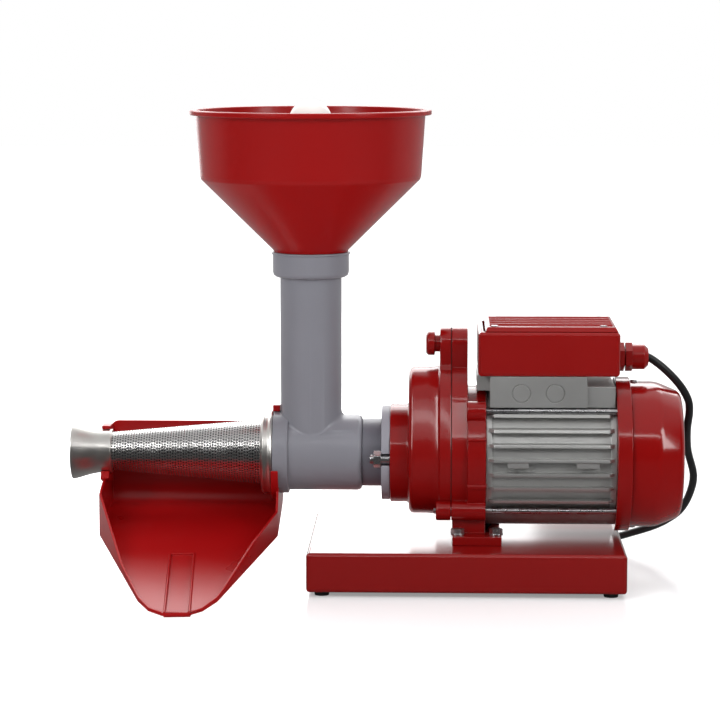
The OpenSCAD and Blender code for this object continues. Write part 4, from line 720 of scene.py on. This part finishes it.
def patches_on_points():
    """Sets a patch of sheet on every point, turned and sized by the point's attributes."""
    tree = bpy.data.node_groups.new("perforated_sheet", "GeometryNodeTree")
    for name, kind in (("Rows", "Geometry"), ("Patch", "Object"), ("Steel", "Material"),
                       ("Inner steel", "Material"), ("Size factor", "Float")):
        tree.interface.new_socket(name, in_out="INPUT", socket_type="NodeSocket" + kind)
    tree.interface.new_socket("Sheet", in_out="OUTPUT", socket_type="NodeSocketGeometry")
    n, l = tree.nodes, tree.links
    given = n.new("NodeGroupInput")
    made = n.new("NodeGroupOutput")
    patch = n.new("GeometryNodeObjectInfo")
    dots = n.new("GeometryNodeMeshToPoints")
    lay = n.new("GeometryNodeInstanceOnPoints")
    real = n.new("GeometryNodeRealizeInstances")
    coat = n.new("GeometryNodeSetMaterial")
    painted_shade_coat = n.new("GeometryNodeSetMaterial")
    inner = n.new("GeometryNodeInputNamedAttribute")
    inner.data_type = "BOOLEAN"
    inner.inputs["Name"].default_value = "inner"
    turn = n.new("GeometryNodeInputNamedAttribute")
    turn.data_type = "FLOAT_VECTOR"
    turn.inputs["Name"].default_value = "patch_turn"
    size = n.new("GeometryNodeInputNamedAttribute")
    size.data_type = "FLOAT_VECTOR"
    size.inputs["Name"].default_value = "patch_size"
    euler = n.new("FunctionNodeEulerToRotation")
    scaled = n.new("ShaderNodeVectorMath")
    scaled.operation = "SCALE"
    l.new(given.outputs["Rows"], dots.inputs["Mesh"])
    l.new(given.outputs["Patch"], patch.inputs["Object"])
    l.new(dots.outputs["Points"], lay.inputs["Points"])
    l.new(patch.outputs["Geometry"], lay.inputs["Instance"])
    l.new(turn.outputs["Attribute"], euler.inputs[0])
    l.new(euler.outputs[0], lay.inputs["Rotation"])
    l.new(size.outputs["Attribute"], scaled.inputs[0])
    l.new(given.outputs["Size factor"], scaled.inputs["Scale"])
    l.new(scaled.outputs[0], lay.inputs["Scale"])
    l.new(lay.outputs["Instances"], real.inputs["Geometry"])
    l.new(real.outputs["Geometry"], coat.inputs["Geometry"])
    l.new(given.outputs["Steel"], coat.inputs["Material"])
    l.new(coat.outputs["Geometry"], painted_shade_coat.inputs["Geometry"])
    # The flagged faces are given the near-black steel: painted shade inside the holes.
    l.new(inner.outputs["Attribute"], painted_shade_coat.inputs["Selection"])
    l.new(given.outputs["Inner steel"], painted_shade_coat.inputs["Material"])
    l.new(painted_shade_coat.outputs["Geometry"], made.inputs["Sheet"])
    return tree


patch = sheet_patch()
rows_object = bpy.data.objects.new("filter_cone_rows", hole_rows())
bpy.context.scene.collection.objects.link(rows_object)
laying = rows_object.modifiers.new("perforated_sheet", "NODES")
laying.node_group = patches_on_points()
sockets = {s.name: s.identifier for s in laying.node_group.interface.items_tree if s.in_out == "INPUT"}
laying[sockets["Patch"]] = patch
laying[sockets["Steel"]] = inox
laying[sockets["Inner steel"]] = inox_inside
laying[sockets["Size factor"]] = 1.0
bpy.context.view_layer.update()
perforated = bpy.data.meshes.new_from_object(rows_object.evaluated_get(bpy.context.evaluated_depsgraph_get()))
bpy.data.objects.remove(rows_object)
bpy.data.objects.remove(patch)
cone_sheet = bpy.data.objects.new("filter_cone_perforated", perforated)
bpy.context.scene.collection.objects.link(cone_sheet)
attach(cone_sheet, "filter")
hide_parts("filter_cone")

small_band = spun([(15.7, -315.4), (16.45, -315.4), (16.8, -311.35), (16.1, -311.35)], across)
big_band = spun(eased([(27.6, -180.1, 0), (28.32, -180.1, 0), (28.4, -179, 0), (28.4, -171, 0.2),
                       (27.6, -171, 0.2)]), across)
add_piece("filter_cone_bands", *joined(small_band, big_band), "filter", "inox", inox)
ring_outline = eased([
    (28.43, -179, 0.2), (34.8, -179, 1.4), (36.8, -177, 0.9), (36.0, -174.4, 0.6), (36.0, -172.8, 0.6),
    (36.8, -171, 0.8), (35.8, -169, 0.6), (30.4, -169, 0.3), (30.4, -161.7, 0.5), (29.1, -161.7, 0.2),
    (29.1, -170.9, 0.2), (28.43, -170.9, 0.2)])
add_piece("filter_ring_turned", *spun(ring_outline, across, 128), "filter", "inox", satin_inox, "filter_ring")


# Nozzle: spun from stainless tube and pushed over the small end of the cone, where the skins come out.
# It has a shoulder at the cone and a trumpet mouth turned over at its lip.
NOZZLE_WALL = 1.25
flare = [(19.2, -321.5), (19.35, -324), (19.9, -327.5), (20.7, -331), (21.7, -334.5), (22.8, -338),
         (23.8, -341.5), (24.5, -344.3), (24.75, -345.5), (24.7, -346.1), (24.35, -346.4), (23.8, -346.3),
         (23.3, -345.6)]
inside = [(r - NOZZLE_WALL, x + 0.35) for r, x in reversed(flare[:8])]
nozzle_outline = eased([(16.8, -311.4, 0.3), (19.2, -311.4, 0.8), (19.2, -320, 0)])
nozzle_outline += [Vector(p) for p in flare + inside]
nozzle_outline += eased([(17.9, -316.5, 1.0), (15.9, -315.43, 0), (16.43, -315.43, 0)], closed=False)
add_piece("nozzle_spun", *spun(nozzle_outline, across, 128), "filter", "inox", satin_inox, "nozzle", crease=45)


# Juice tray: one bright red moulding with a sloping floor, a drain channel and a high back wall.
# Its two hooks snap round the nozzle and the barrel from below.
NOZZLE_HOOK = (-322, -313.1)
BARREL_HOOK = (-170, -162.8)
tray_red = finish("tray_red", (0.335, 0.0032, 0.0040), 0.30, grain=600, drift=15, rough_spread=0.12, tint=0.1,
                  bump=0.00003, coat=0.1, coat_rough=0.15, specular=0.22)


def prism(outline, place):
    """A closed shell between two places of one outline."""
    return lofted([[place(x, z, end) for x, z in outline] for end in (0, 1)], round_again=False)


def hook_front(stations, low, high, radius):
    """The wedge that shortens a hook's front end, between two angles below the level."""
    corners = [(0, 0)] + [on_ring(-radius, a) for a in range(low, high + 1, 6)]
    return prism(corners, lambda y, z, end: across(y, z, stations[end]))


hook_top = [(NOZZLE_HOOK[0], 22.6), (NOZZLE_HOOK[1], 22.6), (NOZZLE_HOOK[1], 30), (NOZZLE_HOOK[0], 30)]
corner = [(-320, 13), (-318.8, 13)]
for a in range(10, 91, 10):
    back, up = on_ring(8, a)
    corner.append((-310.8 - back, 13 + up))
corner += [(-310.8, 23), (-320, 23)]
tray_cuts = [[hook_front(NOZZLE_HOOK, -6, 54, 27.8)], [hook_front(BARREL_HOOK, -6, 48, 39.8)],
             [prism(hook_top, lambda x, z, end: across((-15, 27)[end], z, x))],
             [prism(corner, lambda x, z, end: across((40, 46)[end], z, x))]]
softened("tray", tray_red, width=0.7, segments=3, cuts=tray_cuts)


# Hopper: an injection-moulded red funnel. Its foot sits in the collar, a cone rises to a soft crease,
# and a nearly upright wall ends in a flat rolled lip.
hopper_red = finish("hopper_red", (0.285, 0.0030, 0.0030), 0.32, grain=700, drift=12, rough_spread=0.1,
                    tint=0.08, bump=0.00002, coat=0.1, coat_rough=0.15, specular=0.22)
hopper_outline = eased([
    (29.7, 159.5, 0.5), (29.7, 177.05, 0), (32.2, 177.05, 0.5), (32.9, 178.9, 1.5), (95.4, 240.6, 3.5),
    (96.1, 244.0, 2.0), (99.5, 296.0, 0.8), (104.3, 296.0, 0.3), (104.9, 296.6, 0.5), (104.9, 299.6, 0.9),
    (103.9, 300.4, 0.9), (98.3, 300.4, 1.2), (93.8, 242.4, 3.5), (24.0, 181.6, 3.0),
    (24.0, 159.5, 0.5)], steps=4)
add_piece("hopper_moulding", *spun(hopper_outline, upright, 144), "hopper", "deep_red_plastic", hopper_red,
          "hopper", crease=40)


# Pestle: a white moulded rod with a round end, which hangs loose in the
# hopper and the feed tube and pushes the tomatoes down to the auger.
pestle_white = finish("pestle_white", (0.82, 0.80, 0.77), 0.35)
dress(pestle_white, "pestle")


# Studio: a pale, slightly glossy floor under a white world, with tall soft lamps in front, one above and
# two behind. What mirrors the room sees it white behind and overhead, and dimmer in front.
def area(name, at, aim, size, watts):
    """A soft rectangular lamp at a place, turned to another."""
    lamp = bpy.data.lights.new(name, "AREA")
    lamp.shape = "RECTANGLE"
    lamp.size, lamp.size_y = size
    lamp.energy = watts
    obj = bpy.data.objects.new(name, lamp)
    obj.location = at
    obj.rotation_mode = "QUATERNION"
    obj.rotation_quaternion = (Vector(aim) - Vector(at)).to_track_quat("-Z", "Y")
    bpy.context.scene.collection.objects.link(obj)
    return obj


area("left_softbox", (-1.5, -1.7, 1.3), (-0.1, 0, 0.2), (0.5, 1.3), 19)
area("right_softbox", (1.7, -1.4, 1.2), (0.05, 0, 0.2), (0.5, 1.2), 17)
area("top_softbox", (0.0, 0.2, 1.9), (0, 0, 0), (1.6, 1.2), 18).visible_glossy = False
area("back_softbox", (-0.3, 1.6, 1.35), (-0.1, 0, 0.05), (2.8, 1.0), 34).visible_camera = False
area("front_strip", (-0.1, -1.5, 1.25), (-0.1, 0, 0.1), (2.4, 0.08), 4.5)
area("low_card", (-0.5, 2.0, 0.42), (-0.1, 0, 0.1), (1.3, 0.6), 6).visible_camera = False


def feed(l, socket, value):
    """Sets a socket to a number, or links it to another socket."""
    if isinstance(value, (int, float)):
        socket.default_value = value
    else:
        l.new(value, socket)


def math_node(n, l, operation, first, second):
    """The result of one sum of two numbers or sockets."""
    node = n.new("ShaderNodeMath")
    node.operation = operation
    feed(l, node.inputs[0], first)
    feed(l, node.inputs[1], second)
    return node.outputs[0]


def ramp(n, l, value, low, high, start, stop):
    """A soft step of a value between low and high, from start to stop."""
    node = n.new("ShaderNodeMapRange")
    node.interpolation_type = "SMOOTHSTEP"
    for name, number in (("From Min", low), ("From Max", high), ("To Min", start), ("To Max", stop)):
        node.inputs[name].default_value = number
    l.new(value, node.inputs["Value"])
    return node.outputs[0]


def blend_of(n, l, share, low, high):
    """low where the share is 0, high where it is 1."""
    node = n.new("ShaderNodeMix")
    feed(l, node.inputs["A"], low)
    feed(l, node.inputs["B"], high)
    l.new(share, node.inputs["Factor"])
    return node.outputs["Result"]


floor_mesh = bpy.data.meshes.new("floor")
floor_mesh.from_pydata([(-6, -4, 0), (6, -4, 0), (6, 8, 0), (-6, 8, 0)], [], [(0, 1, 2, 3)])
floor = bpy.data.objects.new("floor", floor_mesh)
bpy.context.scene.collection.objects.link(floor)
floor_white = bpy.data.materials.new("floor_white")
floor_white.use_nodes = True
n, l = floor_white.node_tree.nodes, floor_white.node_tree.links
table_shader = n["Principled BSDF"]
table_shader.inputs["Base Color"].default_value = (0.86, 0.86, 0.87, 1)
table_shader.inputs["Roughness"].default_value = 0.14
table_shader.inputs["Specular IOR Level"].default_value = 0.35
glow = n.new("ShaderNodeEmission")
path = n.new("ShaderNodeLightPath")
place = n.new("ShaderNodeTexCoord")
along_floor = n.new("ShaderNodeSeparateXYZ")
l.new(place.outputs["Object"], along_floor.inputs[0])
far_away = n.new("ShaderNodeVectorMath")
far_away.operation = "LENGTH"
l.new(place.outputs["Object"], far_away.inputs[0])
haze = ramp(n, l, far_away.outputs["Value"], 0.5, 2.8, 0.28, 0.8)
l.new(math_node(n, l, "MULTIPLY", path.outputs["Is Camera Ray"], haze), glow.inputs["Strength"])
both = n.new("ShaderNodeAddShader")
l.new(table_shader.outputs[0], both.inputs[0])
l.new(glow.outputs[0], both.inputs[1])
mirrored = n.new("ShaderNodeEmission")
l.new(ramp(n, l, along_floor.outputs["Y"], -0.15, 0.4, 0.06, 0.5), mirrored.inputs["Strength"])
kind = n.new("ShaderNodeMixShader")
l.new(path.outputs["Is Glossy Ray"], kind.inputs["Fac"])
l.new(both.outputs[0], kind.inputs[1])
l.new(mirrored.outputs[0], kind.inputs[2])
l.new(kind.outputs[0], n["Material Output"].inputs["Surface"])
floor_mesh.materials.append(floor_white)

world = bpy.data.worlds.new("studio")
bpy.context.scene.world = world
world.use_nodes = True
n, l = world.node_tree.nodes, world.node_tree.links
back = n["Background"]
back.inputs["Color"].default_value = (1, 1, 1, 1)
path = n.new("ShaderNodeLightPath")
facing_out = n.new("ShaderNodeTexCoord")
parts = n.new("ShaderNodeSeparateXYZ")
l.new(facing_out.outputs["Generated"], parts.inputs[0])
behind = ramp(n, l, parts.outputs["Y"], -0.1, 0.5, 0.03, 1.0)
overhead = ramp(n, l, parts.outputs["Z"], 0.45, 0.8, 0.0, 0.6)
behind = math_node(n, l, "MULTIPLY", behind, ramp(n, l, parts.outputs["Z"], 0.0, 0.4, 0.4, 1.0))
room = math_node(n, l, "MAXIMUM", behind, overhead)
seen = math_node(n, l, "MAXIMUM", path.outputs["Is Camera Ray"], path.outputs["Is Transmission Ray"])
mirrored = blend_of(n, l, path.outputs["Is Glossy Ray"], 0.42, room)
l.new(blend_of(n, l, seen, mirrored, 1.0), back.inputs["Strength"])
